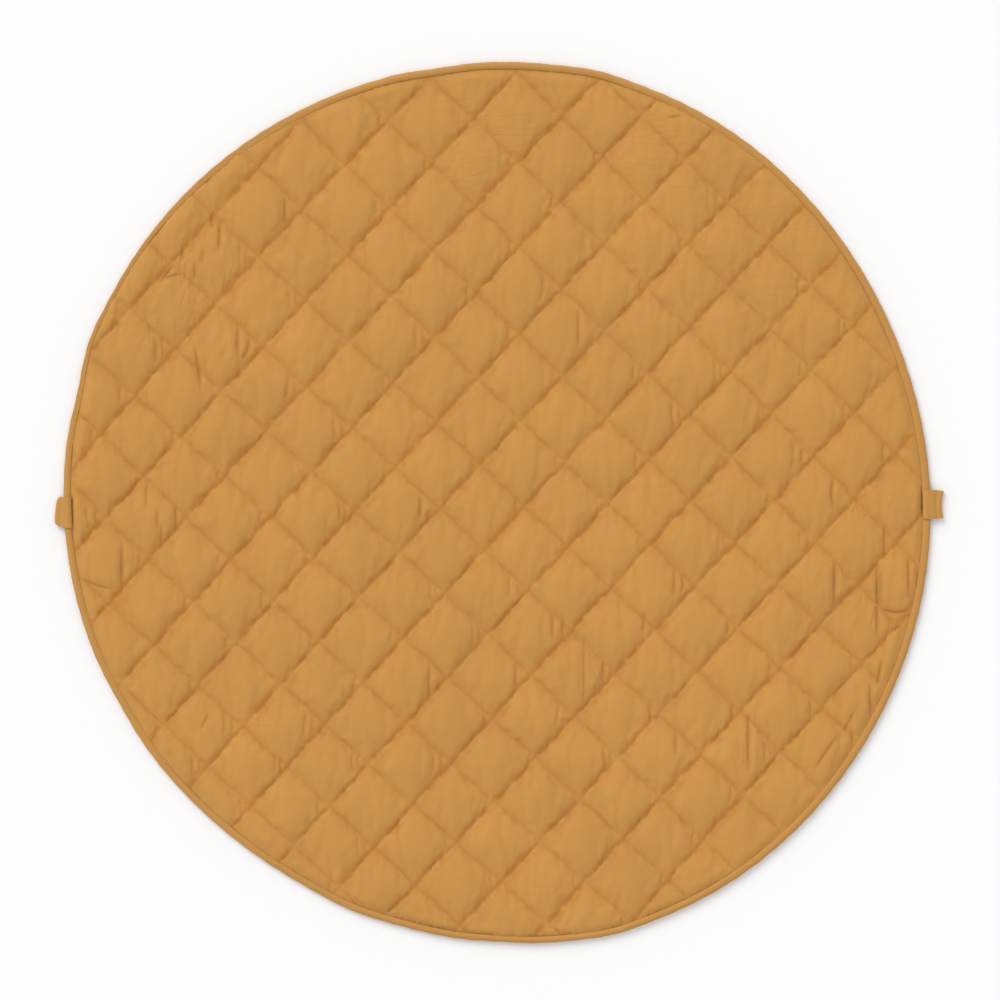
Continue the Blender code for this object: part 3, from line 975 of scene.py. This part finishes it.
def binding_section(parts):
    """Depth in half widths and height of the binding's outer face, from upper to under lip."""
    first = math.radians(LIP_TURN)
    turn = first + (2.0 * math.pi - 2.0 * first) * parts
    up = BINDING_MIDDLE + (BINDING_TOP - BINDING_UNDER) / 2.0 * np.sin(turn)
    upper_lip = np.maximum(up, LIP_TOP - LIP_SLOPE * parts)
    lip_under = HEM_UNDER - BINDING_CLOTH - BINDING_GAP
    under_lip = np.minimum(up, lip_under + LIP_SLOPE * (1.0 - parts))
    return 1.0 + np.cos(turn), np.where(parts < 0.5, upper_lip, under_lip)


def ripples(angle, parts, sizes):
    """Small waves of a strip cut on the bias and rolled: slanting wrinkles that come and go."""
    along = np.radians(angle) * MEAN_RADIUS
    slant = along + RIPPLE_SLANT * parts
    fine = pushed_wave(FINE_RIPPLE, slant, along)
    broad = pushed_wave(BROAD_RIPPLE, slant, along)
    comes = 0.5 + 0.5 * pushed_wave(RIPPLES_COME, along, along)
    return sizes.ripple * (RIPPLE_FINE * fine * comes ** 2 + broad * (1.0 - 0.5 * comes))


def near_tabs(x, y):
    """1 beside a tab's middle and 0 away from the tabs."""
    near = np.zeros_like(y)
    for tab in TABS:
        away = np.abs(y + SHIFT - tab.middle)
        near = np.where(x * tab.side > 0.0, 1.0 - smooth(away, LIFT_FULL, LIFT_END), near)
    return near


def rolled_binding(sizes):
    """The binding: a strip folded round the hem, rippled, with its lapped join."""
    piece, column, row = flat_grid("rolled_binding", RIM_STEPS, SECTION_STEPS)
    mesh = piece.data
    angle = 360.0 * column / RIM_STEPS
    parts = row / SECTION_STEPS
    half_widths, up = binding_section(parts)
    width = lip_depth(angle) + (sizes.binding_width - LIP_DEPTH)
    depth = half_widths * width / (1.0 + math.cos(math.radians(LIP_TURN)))
    x = np.cos(np.radians(angle))
    y = np.sin(np.radians(angle))
    near = near_tabs(MEAN_RADIUS * x, MEAN_RADIUS * y)
    calm = (1.0 - near) * np.sin(np.pi * parts) ** 0.5
    lowered = along_lips(angle, "lower", 0.0) * np.maximum(up - BINDING_MIDDLE, 0.0)
    lowered *= (1.0 - near) / (BINDING_TOP - BINDING_MIDDLE)
    up = np.maximum(up - lowered, np.minimum(up, LIP_TOP))
    lapped = np.radians(away_from(angle, LAP_ANGLE)) * MEAN_RADIUS + depth
    lap = LAP_HEIGHT * smooth(lapped, 0.0, LAP_RISE)
    lap *= 1.0 - smooth(lapped, LAP_LEVEL, LAP_FADE)
    push = (ripples(angle, parts, sizes) + lap) * calm
    turn = np.arctan2(up - BINDING_MIDDLE, half_widths - 1.0)
    depth = depth + push * np.cos(turn)
    up = up + push * np.sin(turn)
    slot_under = HEM_UNDER - BINDING_GAP
    squeeze = (slot_under - LIFTED) / (slot_under - BINDING_UNDER)
    lifted = slot_under - (slot_under - up) * (1.0 - near * (1.0 - squeeze))
    up = np.maximum(np.where(up < slot_under, lifted, up), OFF_FLOOR)
    radius = edge_radius(angle) - depth
    place_points(mesh, np.stack([radius * x, radius * y + SHIFT, up], axis=1))
    strip = 2.0 * (sizes.binding_width + BINDING_TOP)
    write_uv(mesh, "threads", np.stack([np.radians(angle) * MEAN_RADIUS, parts * strip], axis=1))
    edit_mesh(piece, lambda: merge_doubles(MERGE / 4.0),
              lambda: bpy.ops.mesh.normals_make_consistent(inside=False))
    thicken(piece, BINDING_CLOTH, -1.0)
    mesh.shade_smooth()
    return piece


def thicken(piece, thickness, offset):
    """Give a sheet its real thickness."""
    solid = piece.modifiers.new("cloth thickness", "SOLIDIFY")
    solid.thickness = thickness
    solid.offset = offset
    apply_modifier(piece, solid)


def apply_modifier(piece, modifier):
    """Apply one modifier of a piece."""
    bpy.ops.object.select_all(action="DESELECT")
    piece.select_set(True)
    bpy.context.view_layer.objects.active = piece
    bpy.ops.object.modifier_apply(modifier=modifier.name)


def roll_height(depth):
    """Half height of the rolled binding at a depth inside its outer edge."""
    half_width = LIP_DEPTH / (1.0 + math.cos(math.radians(LIP_TURN)))
    across = depth / half_width - 1.0
    return (BINDING_TOP - BINDING_UNDER) / 2.0 * math.sqrt(max(1.0 - across * across, 0.0))


def tab_path(reach, strip, neck):
    """Out and up of the middle of the strip, from its seam round the fold and back."""
    over = BINDING_MIDDLE + TAB_CLEAR + strip / 2.0
    path = []
    for step in range(TAB_OVER_STEPS + 1):
        depth = between((TAB_START_DEPTH, TAB_LEAVE_DEPTH), step / TAB_OVER_STEPS)
        path.append((-depth, over + roll_height(depth)))
    leave_out, leave_up = path[-1]
    back = strip / 2.0 + TAB_OFF_FLOOR
    fold_radius = (TAB_FOLD_TOP - back) / 2.0
    fold_out = reach - strip / 2.0 - fold_radius
    for step in range(1, TAB_OUT_STEPS):
        part = step / TAB_OUT_STEPS
        dip = neck * math.exp(-((part - NECK_PLACE) / NECK_SPREAD) ** 2)
        path.append((between((leave_out, fold_out), part),
                     between((leave_up, TAB_FOLD_TOP), part) - dip))
    for step in range(TAB_FOLD_STEPS + 1):
        turn = math.pi * (0.5 - step / TAB_FOLD_STEPS)
        path.append((fold_out + fold_radius * math.cos(turn),
                     back + fold_radius * (1.0 + math.sin(turn))))
    for step in range(1, TAB_BACK_STEPS + 1):
        path.append((between((fold_out, -TAB_START_DEPTH), step / TAB_BACK_STEPS), back))
    return path


def tab_short(tab, part):
    """How far the fold stays behind the tip, part of the way from lower to upper side."""
    lower = tab.lower_short * (1.0 - part) * (1.0 - 2.0 * part)
    middle = tab.middle_short * 4.0 * part * (1.0 - part)
    upper = tab.upper_short * part * (2.0 * part - 1.0)
    rounded = tab.upper_corner * part ** CORNER_SHARPNESS
    rounded += tab.lower_corner * (1.0 - part) ** CORNER_SHARPNESS
    return lower + middle + upper + rounded


def tab_point(tab, column, part, strip):
    """Place of one point of a tab's strip, by its step along the path and its part across."""
    height = tab.middle + (part - 0.5) * tab.width
    edge = edge_out(height, tab.side)
    reach = TAB_TIP - tab_short(tab, part) - edge
    out, up = tab_path(reach, strip, tab.neck)[column]
    drawn = max(out, 0.0) / max(reach, 0.001)
    height -= tab.upper_taper * drawn ** 2 * smooth(part, TAPER_START, 1.0)
    height += tab.lower_taper * drawn ** 1.5 * smooth(1.0 - part, TAPER_START, 1.0)
    return tab.side * (edge + out), height, up


def edge_out(height, side):
    """How far out in X the mat's outer edge is at a height of the shifted plan."""
    angle = 0.0 if side > 0 else 180.0
    for _ in range(EDGE_ROUNDS):
        radius = float(edge_radius(np.array([angle]))[0])
        swing = math.degrees(math.asin((height - SHIFT) / radius))
        angle = swing if side > 0 else 180.0 - swing
    return abs(radius * math.cos(math.radians(angle)))


def pull_tab(tab, sizes):
    """One tab: a strip laid over the binding, folded at its tip and brought back under."""
    strip = sizes.strip
    columns = TAB_OVER_STEPS + TAB_OUT_STEPS + TAB_FOLD_STEPS + TAB_BACK_STEPS
    piece, column, row = flat_grid(tab.name + "_cloth", columns, TAB_ACROSS_STEPS)
    part = row / TAB_ACROSS_STEPS
    place = np.array([tab_point(tab, at, across, strip) for at, across in zip(column, part)])
    place_points(piece.data, place)
    write_uv(piece.data, "threads",
             np.stack([column / columns * tab.cut, part * tab.width], axis=1))
    thicken(piece, strip, 0.0)
    bevel = piece.modifiers.new("worn edges", "BEVEL")
    bevel.width = TAB_EDGE
    bevel.segments = 2
    bevel.limit_method = "ANGLE"
    bevel.angle_limit = TAB_EDGE_ANGLE
    apply_modifier(piece, bevel)
    edit_mesh(piece, lambda: bpy.ops.mesh.select_all(action="SELECT"),
              lambda: bpy.ops.mesh.normals_make_consistent(inside=False))
    piece.data.shade_smooth()
    return piece


def tab_rows(tab, strip):
    """Lines of stitches along the two sides of a tab, on its upper face."""
    rows = []
    for part in (TAB_ROW_INSET / tab.width, 1.0 - TAB_ROW_INSET / tab.width):
        steps = range(TAB_OVER_STEPS + TAB_OUT_STEPS + TAB_FOLD_STEPS // 3)
        line = np.array([tab_point(tab, at, part, strip) for at in steps])
        line[:, 2] += strip / 2.0
        rows.append(line)
    return rows


def add_node(tree, kind, settings=None, inputs=None):
    """Add a shader node with its settings, and set or link its inputs by name or number. A node
    given for an input is linked by its first output."""
    node = tree.nodes.new("ShaderNode" + kind)
    for name, value in (settings or {}).items():
        setattr(node, name, value)
    for name, value in (inputs or {}).items():
        if isinstance(value, bpy.types.Node):
            value = value.outputs[0]
        if isinstance(value, bpy.types.NodeSocket):
            tree.links.new(value, node.inputs[name])
        else:
            node.inputs[name].default_value = value
    return node


def new_material(name):
    """A material with a bare Principled shader. Returns it, its node tree and the shader."""
    material = bpy.data.materials.new(name)
    material.use_nodes = True
    tree = material.node_tree
    return material, tree, tree.nodes["Principled BSDF"]


def weave(tree, place):
    """Height of plain weave, over and under threads by turns, and of thick and thin yarns."""
    scale = WAVE_REPEAT / THREAD_SPACING
    warp = add_node(tree, "TexWave", {"bands_direction": "X"},
                    {"Vector": place, "Scale": scale, "Distortion": 0.0})
    weft = add_node(tree, "TexWave", {"bands_direction": "Y"},
                    {"Vector": place, "Scale": scale, "Distortion": 0.0})
    turns = add_node(tree, "TexChecker", None, {"Vector": place, "Scale": 1.0 / THREAD_SPACING})
    threads = add_node(tree, "Mix", {"data_type": "FLOAT"},
                       {0: turns.outputs["Fac"], 2: warp.outputs["Fac"], 3: weft.outputs["Fac"]})
    slubs = []
    for size in ((SLUB_WIDTH, SLUB_LENGTH), (SLUB_LENGTH, SLUB_WIDTH)):
        stretched = add_node(tree, "Mapping", None,
                             {"Vector": place, "Scale": (1.0 / size[0], 1.0 / size[1], 1.0)})
        slubs.append(add_node(tree, "TexNoise", {"noise_dimensions": "2D"},
                              {"Vector": stretched.outputs["Vector"], "Scale": 1.0,
                               "Detail": 2.0}))
    both = add_node(tree, "Math", {"operation": "ADD"},
                    {0: slubs[0].outputs["Fac"], 1: slubs[1].outputs["Fac"]})
    return threads.outputs[0], both.outputs[0]


def cotton(name, colour, place_of, grain_turn, painted_shade_and_relief):
    """Matt plain-weave cotton. A dyed, washed cloth: no gloss, a soft bloom at glancing angles,
    thick and thin yarns, and a slightly uneven dye. On the quilted panel it also has painted shade
    by the seams and in the folds of the creases, and bumps for its puckers and folds."""
    material, tree, shader = new_material(name)
    place = place_of(tree)
    turned = add_node(tree, "Mapping", None,
                      {"Vector": place, "Rotation": (0.0, 0.0, math.radians(grain_turn))})
    threads, slubs = weave(tree, turned.outputs["Vector"])
    mottle = add_node(tree, "TexNoise", None,
                      {"Vector": place, "Scale": 1.0 / MOTTLE_SIZE, "Detail": 4.0,
                       "Roughness": 0.6})
    dye = add_node(tree, "MapRange", None,
                   {"Value": mottle.outputs["Fac"], "From Min": 0.3, "From Max": 0.7,
                    "To Min": 0.955, "To Max": 1.045})
    yarn = add_node(tree, "MapRange", None,
                    {"Value": slubs, "From Min": 0.7, "From Max": 1.3, "To Min": 0.985,
                     "To Max": 1.015})
    shade = add_node(tree, "Math", {"operation": "MULTIPLY"}, {0: dye, 1: yarn}).outputs[0]
    height = add_node(tree, "Math", {"operation": "MULTIPLY_ADD"},
                      {0: slubs, 1: 0.5, 2: threads}).outputs[0]
    dye_and_painted_shade = add_node(tree, "VectorMath", {"operation": "SCALE"},
                      {0: colour, "Scale": shade}).outputs["Vector"]
    if painted_shade_and_relief:
        # Painted shade: a gamma that deepens and enriches the colour by the seams and in the folds
        # of the creases.
        folds = fold_lines(tree)
        seams = add_node(tree, "Math", {"operation": "ADD"}, {0: 1.0, 1: painted_seam_shade(tree, place)})
        painted_shade = add_node(tree, "Math", {"operation": "MULTIPLY_ADD"},
                        {0: folds, 1: FOLD_PAINTED_SHADE, 2: seams})
        dye_and_painted_shade = add_node(tree, "Gamma", None, {"Color": dye_and_painted_shade, "Gamma": painted_shade}).outputs["Color"]
    tree.links.new(dye_and_painted_shade, shader.inputs["Base Color"])
    rough = add_node(tree, "MapRange", None,
                     {"Value": slubs, "From Min": 0.6, "From Max": 1.4, "To Min": 0.82,
                      "To Max": 0.96})
    tree.links.new(rough.outputs[0], shader.inputs["Roughness"])
    bump = add_node(tree, "Bump", None, {"Strength": 0.5, "Distance": 0.0002, "Height": height})
    if painted_shade_and_relief:
        relief = add_node(tree, "Math", {"operation": "SUBTRACT"},
                          {0: puckers(tree, place), 1: folds})
        bump = add_node(tree, "Bump", None,
                        {"Strength": 1.0, "Distance": 1.0, "Height": relief,
                         "Normal": bump.outputs["Normal"]})
    tree.links.new(bump.outputs["Normal"], shader.inputs["Normal"])
    shader.inputs["Specular IOR Level"].default_value = 0.5
    shader.inputs["Sheen Weight"].default_value = 0.12
    shader.inputs["Sheen Roughness"].default_value = 0.5
    return material


def painted_seam_shade(tree, place):
    """Painted shade by a seam: the colour is deeper there in a soft band with a narrow line that
    wanders in it, standing in for the shade between the puffs and the light that goes to and fro
    between them. The painted shade is stronger by the rising seams, which lie across the key
    light, than by the falling ones, which lie along it."""
    lines = add_node(tree, "UVMap", {"uv_map": "seams"})
    noise = add_node(tree, "TexNoise", None,
                     {"Vector": place, "Scale": 1.0 / SEAM_WAVE_SIZE, "Detail": 1.0})
    level = add_node(tree, "VectorMath", {"operation": "SUBTRACT"},
                     {0: noise.outputs["Color"], 1: (0.5, 0.5, 0.5)})
    moved = add_node(tree, "VectorMath", {"operation": "MULTIPLY_ADD"},
                     {0: level.outputs["Vector"], 1: (SEAM_WAVE, SEAM_WAVE, SEAM_WAVE),
                      2: lines.outputs["UV"]})
    part = add_node(tree, "VectorMath", {"operation": "FRACTION"}, {0: moved.outputs["Vector"]})
    centred = add_node(tree, "VectorMath", {"operation": "SUBTRACT"},
                       {0: part.outputs["Vector"], 1: (0.5, 0.5, 0.5)})
    away = add_node(tree, "VectorMath", {"operation": "ABSOLUTE"}, {0: centred.outputs["Vector"]})
    split = add_node(tree, "SeparateXYZ", None, {0: away.outputs["Vector"]})
    painted_shades = []
    for axis, share in (("X", 1.0), ("Y", FALLING_SHARE)):
        band, line = (
            add_node(tree, "MapRange", {"interpolation_type": "SMOOTHSTEP"},
                     {"Value": split.outputs[axis], "From Min": 0.5 - reach, "From Max": 0.5,
                      "To Min": 0.0, "To Max": share * painted_shade}).outputs[0]
            for reach, painted_shade in ((SEAM_BAND, BAND_PAINTED_SHADE), (SEAM_LINE, LINE_PAINTED_SHADE)))
        painted_shades.append(add_node(tree, "Math", {"operation": "ADD"},
                              {0: band, 1: line}).outputs[0])
    seam_shade = add_node(tree, "Math", {"operation": "MAXIMUM"}, {0: painted_shades[0], 1: painted_shades[1]})
    patches = add_node(tree, "MapRange", None,
                       {"Value": noise.outputs["Fac"], "From Min": 0.35, "From Max": 0.65,
                        "To Min": 0.1, "To Max": 1.0})
    return add_node(tree, "Math", {"operation": "MULTIPLY"}, {0: seam_shade, 1: patches}).outputs[0]


def folded_lines(tree, place, width, length):
    """Narrow troughs that run along Y, join and part, from a stretched noise."""
    stretched = add_node(tree, "Mapping", None,
                         {"Vector": place, "Scale": (1.0 / width, 1.0 / length, 1.0)})
    noise = add_node(tree, "TexNoise", {"noise_dimensions": "2D"},
                     {"Vector": stretched.outputs["Vector"], "Scale": 1.0, "Detail": 1.0,
                      "Distortion": 0.4})
    centred = add_node(tree, "Math", {"operation": "SUBTRACT"}, {0: noise.outputs["Fac"], 1: 0.5})
    either = add_node(tree, "Math", {"operation": "ABSOLUTE"}, {0: centred})
    return add_node(tree, "MapRange", {"interpolation_type": "SMOOTHSTEP"},
                    {"Value": either, "From Min": 0.0, "From Max": PUCKER_SPREAD, "To Min": 0.0,
                     "To Max": 1.0}).outputs[0]


def puckers(tree, place):
    """Upright gathers and level wrinkles of the cloth, as strong as its gathers attribute says."""
    amount = add_node(tree, "Attribute", {"attribute_name": "gathers"})
    amounts = add_node(tree, "SeparateXYZ", None, {0: amount.outputs["Vector"]})
    upright = add_node(tree, "Math", {"operation": "MULTIPLY"},
                       {0: folded_lines(tree, place, PUCKER_WIDTH, PUCKER_LENGTH),
                        1: amounts.outputs["X"]})
    both = add_node(tree, "Math", {"operation": "MULTIPLY_ADD"},
                    {0: folded_lines(tree, place, WRINKLE_LENGTH, WRINKLE_WIDTH),
                     1: amounts.outputs["Y"], 2: upright})
    return add_node(tree, "Math", {"operation": "MULTIPLY"}, {0: both, 1: PUCKER_DEPTH}).outputs[0]


def fold_lines(tree):
    """Depth in metres of the sharp folds in the middle of the creases, from their attribute."""
    beside = add_node(tree, "Attribute", {"attribute_name": "creases"})
    parts = add_node(tree, "SeparateXYZ", None, {0: beside.outputs["Vector"]})
    square = add_node(tree, "Math", {"operation": "MULTIPLY"},
                      {0: parts.outputs["X"], 1: parts.outputs["X"]})
    bell = add_node(tree, "Math", {"operation": "POWER"}, {0: 1.0 / math.e, 1: square})
    along = add_node(tree, "Math", {"operation": "ABSOLUTE"}, {0: parts.outputs["Y"]})
    fade = add_node(tree, "MapRange", {"interpolation_type": "SMOOTHSTEP"},
                    {"Value": along, "From Min": 0.35, "From Max": 1.1, "To Min": 1.0,
                     "To Max": 0.0})
    line = add_node(tree, "Math", {"operation": "MULTIPLY"}, {0: bell, 1: fade})
    return add_node(tree, "Math", {"operation": "MULTIPLY"},
                    {0: line, 1: parts.outputs["Z"]}).outputs[0]


def object_place(tree):
    """Object coordinates, in metres on the finished piece."""
    return add_node(tree, "TexCoord").outputs["Object"]


def strip_place(tree):
    """Metres along and across a strip, from its own UV map."""
    return add_node(tree, "UVMap", {"uv_map": "threads"}).outputs["UV"]


def thread_material(colour):
    """Spun polyester sewing thread: two plies twisted together, with a faint shine."""
    material, tree, shader = new_material("spun polyester sewing thread")
    place = object_place(tree)
    twist = add_node(tree, "TexNoise", None, {"Vector": place, "Scale": TWISTS, "Detail": 2.0})
    shade = add_node(tree, "MapRange", None,
                     {"Value": twist.outputs["Fac"], "To Min": 0.85, "To Max": 1.12})
    scaled = add_node(tree, "VectorMath", {"operation": "SCALE"}, {0: colour, "Scale": shade})
    tree.links.new(scaled.outputs["Vector"], shader.inputs["Base Color"])
    bump = add_node(tree, "Bump", None,
                    {"Strength": 0.4, "Distance": 0.0001, "Height": twist.outputs["Fac"]})
    tree.links.new(bump.outputs["Normal"], shader.inputs["Normal"])
    shader.inputs["Roughness"].default_value = 0.55
    shader.inputs["Sheen Weight"].default_value = 0.1
    return material


def paper_material(colour):
    """Seamless studio paper: matt and plain, with a barely uneven surface."""
    material, tree, shader = new_material("seamless studio paper")
    grain = add_node(tree, "TexNoise", None,
                     {"Vector": object_place(tree), "Scale": GRAINS, "Detail": 3.0})
    bump = add_node(tree, "Bump", None,
                    {"Strength": 0.1, "Distance": 0.0003, "Height": grain.outputs["Fac"]})
    tree.links.new(bump.outputs["Normal"], shader.inputs["Normal"])
    shader.inputs["Base Color"].default_value = (*colour, 1.0)
    shader.inputs["Roughness"].default_value = 0.9
    shader.inputs["Specular IOR Level"].default_value = 0.1
    return material


def stand_for(piece, slot, *nodes):
    """Hang a finished piece on the CAD body and hide the CAD nodes that it replaces. The slot is
    not used.
    """
    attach(piece, "root")
    if nodes:
        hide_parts(*nodes)


def build_stage(sizes):
    """Floor, light and camera."""
    bpy.ops.object.select_all(action="DESELECT")
    bpy.ops.mesh.primitive_plane_add(size=FLOOR_SIZE)
    floor = name_piece("floor")
    floor.data.materials.append(paper_material(sizes.floor_colour))
    world = bpy.data.worlds.new("studio")
    bpy.context.scene.world = world
    world.use_nodes = True
    sky = world.node_tree.nodes["Background"]
    sky.inputs["Color"].default_value = (1.0, 1.0, 1.0, 1.0)
    sky.inputs["Strength"].default_value = sizes.fill_light
    bpy.ops.object.light_add(type="SUN", location=(-1.0, 1.0, 2.0))
    sun = bpy.context.object
    sun.name = "key_light"
    sun.data.energy = sizes.key_light
    sun.data.angle = sizes.key_softness
    flat = math.cos(sizes.key_rise)
    aim = Vector((math.cos(sizes.key_turn) * flat, math.sin(sizes.key_turn) * flat,
                  math.sin(sizes.key_rise)))
    sun.rotation_euler = aim.to_track_quat("Z", "Y").to_euler()
    bpy.ops.object.camera_add(location=(CAMERA_X, CAMERA_Y + SHIFT, sizes.camera_height))
    camera = bpy.context.object
    camera.rotation_euler = (0.0, 0.0, 0.0)
    camera.data.sensor_width = SENSOR
    camera.data.lens = SENSOR * sizes.camera_height / VIEW_WIDTH
    camera.data.clip_end = FURTHEST_SEEN
    bpy.context.scene.camera = camera
    bpy.context.scene.view_settings.view_transform = "Standard"


class PanelSizes(bpy.types.PropertyGroup):
    """Sizes and colours of the quilted cloth and its thread."""
    seam_height: FloatProperty(name="Seam height", description="Height of the seams off the floor",
                               default=0.0050, unit="LENGTH")
    puff_height: FloatProperty(name="Puff height", description="Height of a cell before it swells",
                               default=0.0109, unit="LENGTH")
    spare_across: FloatProperty(name="Spare cloth across", default=0.015, subtype="FACTOR",
                                description="Share of cloth more from side to side than shows")
    spare_all: FloatProperty(name="Spare cloth all over", default=0.005, subtype="FACTOR",
                             description="Share of cloth more in every direction than shows")
    pressure: FloatProperty(name="Pressure", description="How hard the filling pushes the cloth",
                            default=2.6)
    colour: FloatVectorProperty(name="Colour", description="Colour of the cloth", size=3,
                                subtype="COLOR", default=linear(CLOTH_COLOUR))
    thread_colour: FloatVectorProperty(name="Thread colour", description="Colour of the thread",
                                       size=3, subtype="COLOR", default=linear(THREAD_COLOUR))
    thread_width: FloatProperty(name="Thread width", description="Width of the sewing thread",
                                default=0.0006, unit="LENGTH")


class BindingSizes(bpy.types.PropertyGroup):
    """Sizes and colour of the rolled binding."""
    binding_width: FloatProperty(name="Width", description="Width of the binding from above",
                                 default=LIP_DEPTH, unit="LENGTH")
    ripple: FloatProperty(name="Ripple", description="Height of the wrinkles of the binding",
                          default=0.00028, unit="LENGTH")
    colour: FloatVectorProperty(name="Colour", description="Colour of the binding", size=3,
                                subtype="COLOR", default=linear(BINDING_COLOUR))


class TabSizes(bpy.types.PropertyGroup):
    """Sizes and colour of the two tabs."""
    strip: FloatProperty(name="Strip thickness", description="Thickness of the doubled strip",
                         default=0.0015, unit="LENGTH")
    colour: FloatVectorProperty(name="Colour", description="Colour of the tabs", size=3,
                                subtype="COLOR", default=linear(TAB_COLOUR))


class StageSizes(bpy.types.PropertyGroup):
    """Lights, camera and floor colour of the stage."""
    fill_light: FloatProperty(name="Fill light", description="Strength of the light all round",
                              default=0.77)
    key_light: FloatProperty(name="Key light", description="Strength of the light from one side",
                             default=1.56)
    key_softness: FloatProperty(name="Key softness", description="Apparent width of the key light",
                                default=math.radians(34.0), subtype="ANGLE")
    key_turn: FloatProperty(name="Key direction", description="Side that the key light comes from",
                            default=math.radians(125.0), subtype="ANGLE")
    key_rise: FloatProperty(name="Key height", description="Angle of the key light off the floor",
                            default=math.radians(35.0), subtype="ANGLE")
    camera_height: FloatProperty(name="Camera height", description="Height of the camera",
                                 default=CAMERA_HEIGHT, unit="LENGTH")
    floor_colour: FloatVectorProperty(name="Floor colour", description="Colour of the floor",
                                      size=3, subtype="COLOR", default=linear(FLOOR_COLOUR))


class MATBAG_OT_quilted_cloth(bpy.types.Operator):
    """Build the quilted upper and under cloth"""
    bl_idname = "matbag.quilted_cloth"
    bl_label = "Quilted Cloth"

    def execute(self, context):
        sizes = context.scene.matbag_panel
        piece = quilted_body(sizes)
        piece.data.materials.append(cotton("plain-weave cotton, quilted", sizes.colour,
                                           object_place, 0.0, True))
        stand_for(piece, "panel", "quilted_panel")
        return {"FINISHED"}


class MATBAG_OT_quilting(bpy.types.Operator):
    """Sew the quilting stitches on both faces"""
    bl_idname = "matbag.quilting"
    bl_label = "Quilting Stitches"

    def execute(self, context):
        sizes = context.scene.matbag_panel
        random = np.random.default_rng(SEED + 1)
        thread = thread_material(sizes.thread_colour)
        for name, upper in (("upper_quilting", True), ("under_quilting", False)):
            piece = sew(name, seam_rows(upper, sizes), random, sizes.thread_width,
                        sizes.thread_width * THREAD_FLAT)
            piece.data.materials.append(thread)
            stand_for(piece, "panel")
        return {"FINISHED"}


class MATBAG_OT_binding(bpy.types.Operator):
    """Build the rolled binding round the edge"""
    bl_idname = "matbag.binding"
    bl_label = "Rolled Binding"

    def execute(self, context):
        sizes = context.scene.matbag_binding
        piece = rolled_binding(sizes)
        piece.data.materials.append(cotton("plain-weave cotton, cut on the bias and rolled",
                                           sizes.colour, strip_place, 45.0, False))
        stand_for(piece, "binding", "edge_binding")
        return {"FINISHED"}


class MATBAG_OT_tabs(bpy.types.Operator):
    """Build the two folded tabs and their stitches"""
    bl_idname = "matbag.tabs"
    bl_label = "Tabs"

    def execute(self, context):
        sizes = context.scene.matbag_tabs
        cloth = cotton("plain-weave cotton, doubled strip", sizes.colour, strip_place, 0.0, False)
        thread = thread_material(context.scene.matbag_panel.thread_colour)
        random = np.random.default_rng(SEED + 2)
        for tab in TABS:
            piece = pull_tab(tab, sizes)
            piece.data.materials.append(cloth)
            stand_for(piece, "tab", tab.name)
            stitches = sew(tab.name + "_stitches", tab_rows(tab, sizes.strip), random,
                           TAB_THREAD_WIDTH, TAB_THREAD_HEIGHT)
            stitches.data.materials.append(thread)
            stand_for(stitches, "tab")
        return {"FINISHED"}


class MATBAG_OT_stage(bpy.types.Operator):
    """Build the floor, light and camera"""
    bl_idname = "matbag.stage"
    bl_label = "Stage"

    def execute(self, context):
        build_stage(context.scene.matbag_stage)
        return {"FINISHED"}


class MATBAG_PT_pieces(bpy.types.Panel):
    """Sidebar panel of the mat bag"""
    bl_idname = "MATBAG_PT_pieces"
    bl_label = "Mat Bag"
    bl_space_type = "VIEW_3D"
    bl_region_type = "UI"
    bl_category = "Mat Bag"

    def draw(self, context):
        for step in STEPS:
            self.layout.operator(step.bl_idname)


GROUPS = {
    "matbag_panel": PanelSizes,
    "matbag_binding": BindingSizes,
    "matbag_tabs": TabSizes,
    "matbag_stage": StageSizes,
}
STEPS = (MATBAG_OT_quilted_cloth, MATBAG_OT_quilting, MATBAG_OT_binding, MATBAG_OT_tabs,
         MATBAG_OT_stage)
CLASSES = (*GROUPS.values(), *STEPS, MATBAG_PT_pieces)


def register():
    """Register the classes and hang the settings on the scene."""
    for item in CLASSES:
        bpy.utils.register_class(item)
    for name, group in GROUPS.items():
        setattr(bpy.types.Scene, name, PointerProperty(type=group))


def unregister():
    """Take the settings off the scene and unregister the classes."""
    for name in GROUPS:
        delattr(bpy.types.Scene, name)
    for item in reversed(CLASSES):
        bpy.utils.unregister_class(item)


def main():
    register()
    bpy.ops.matbag.quilted_cloth()
    bpy.ops.matbag.quilting()
    bpy.ops.matbag.binding()
    bpy.ops.matbag.tabs()
    bpy.ops.matbag.stage()


if __name__ == "__main__":
    main()
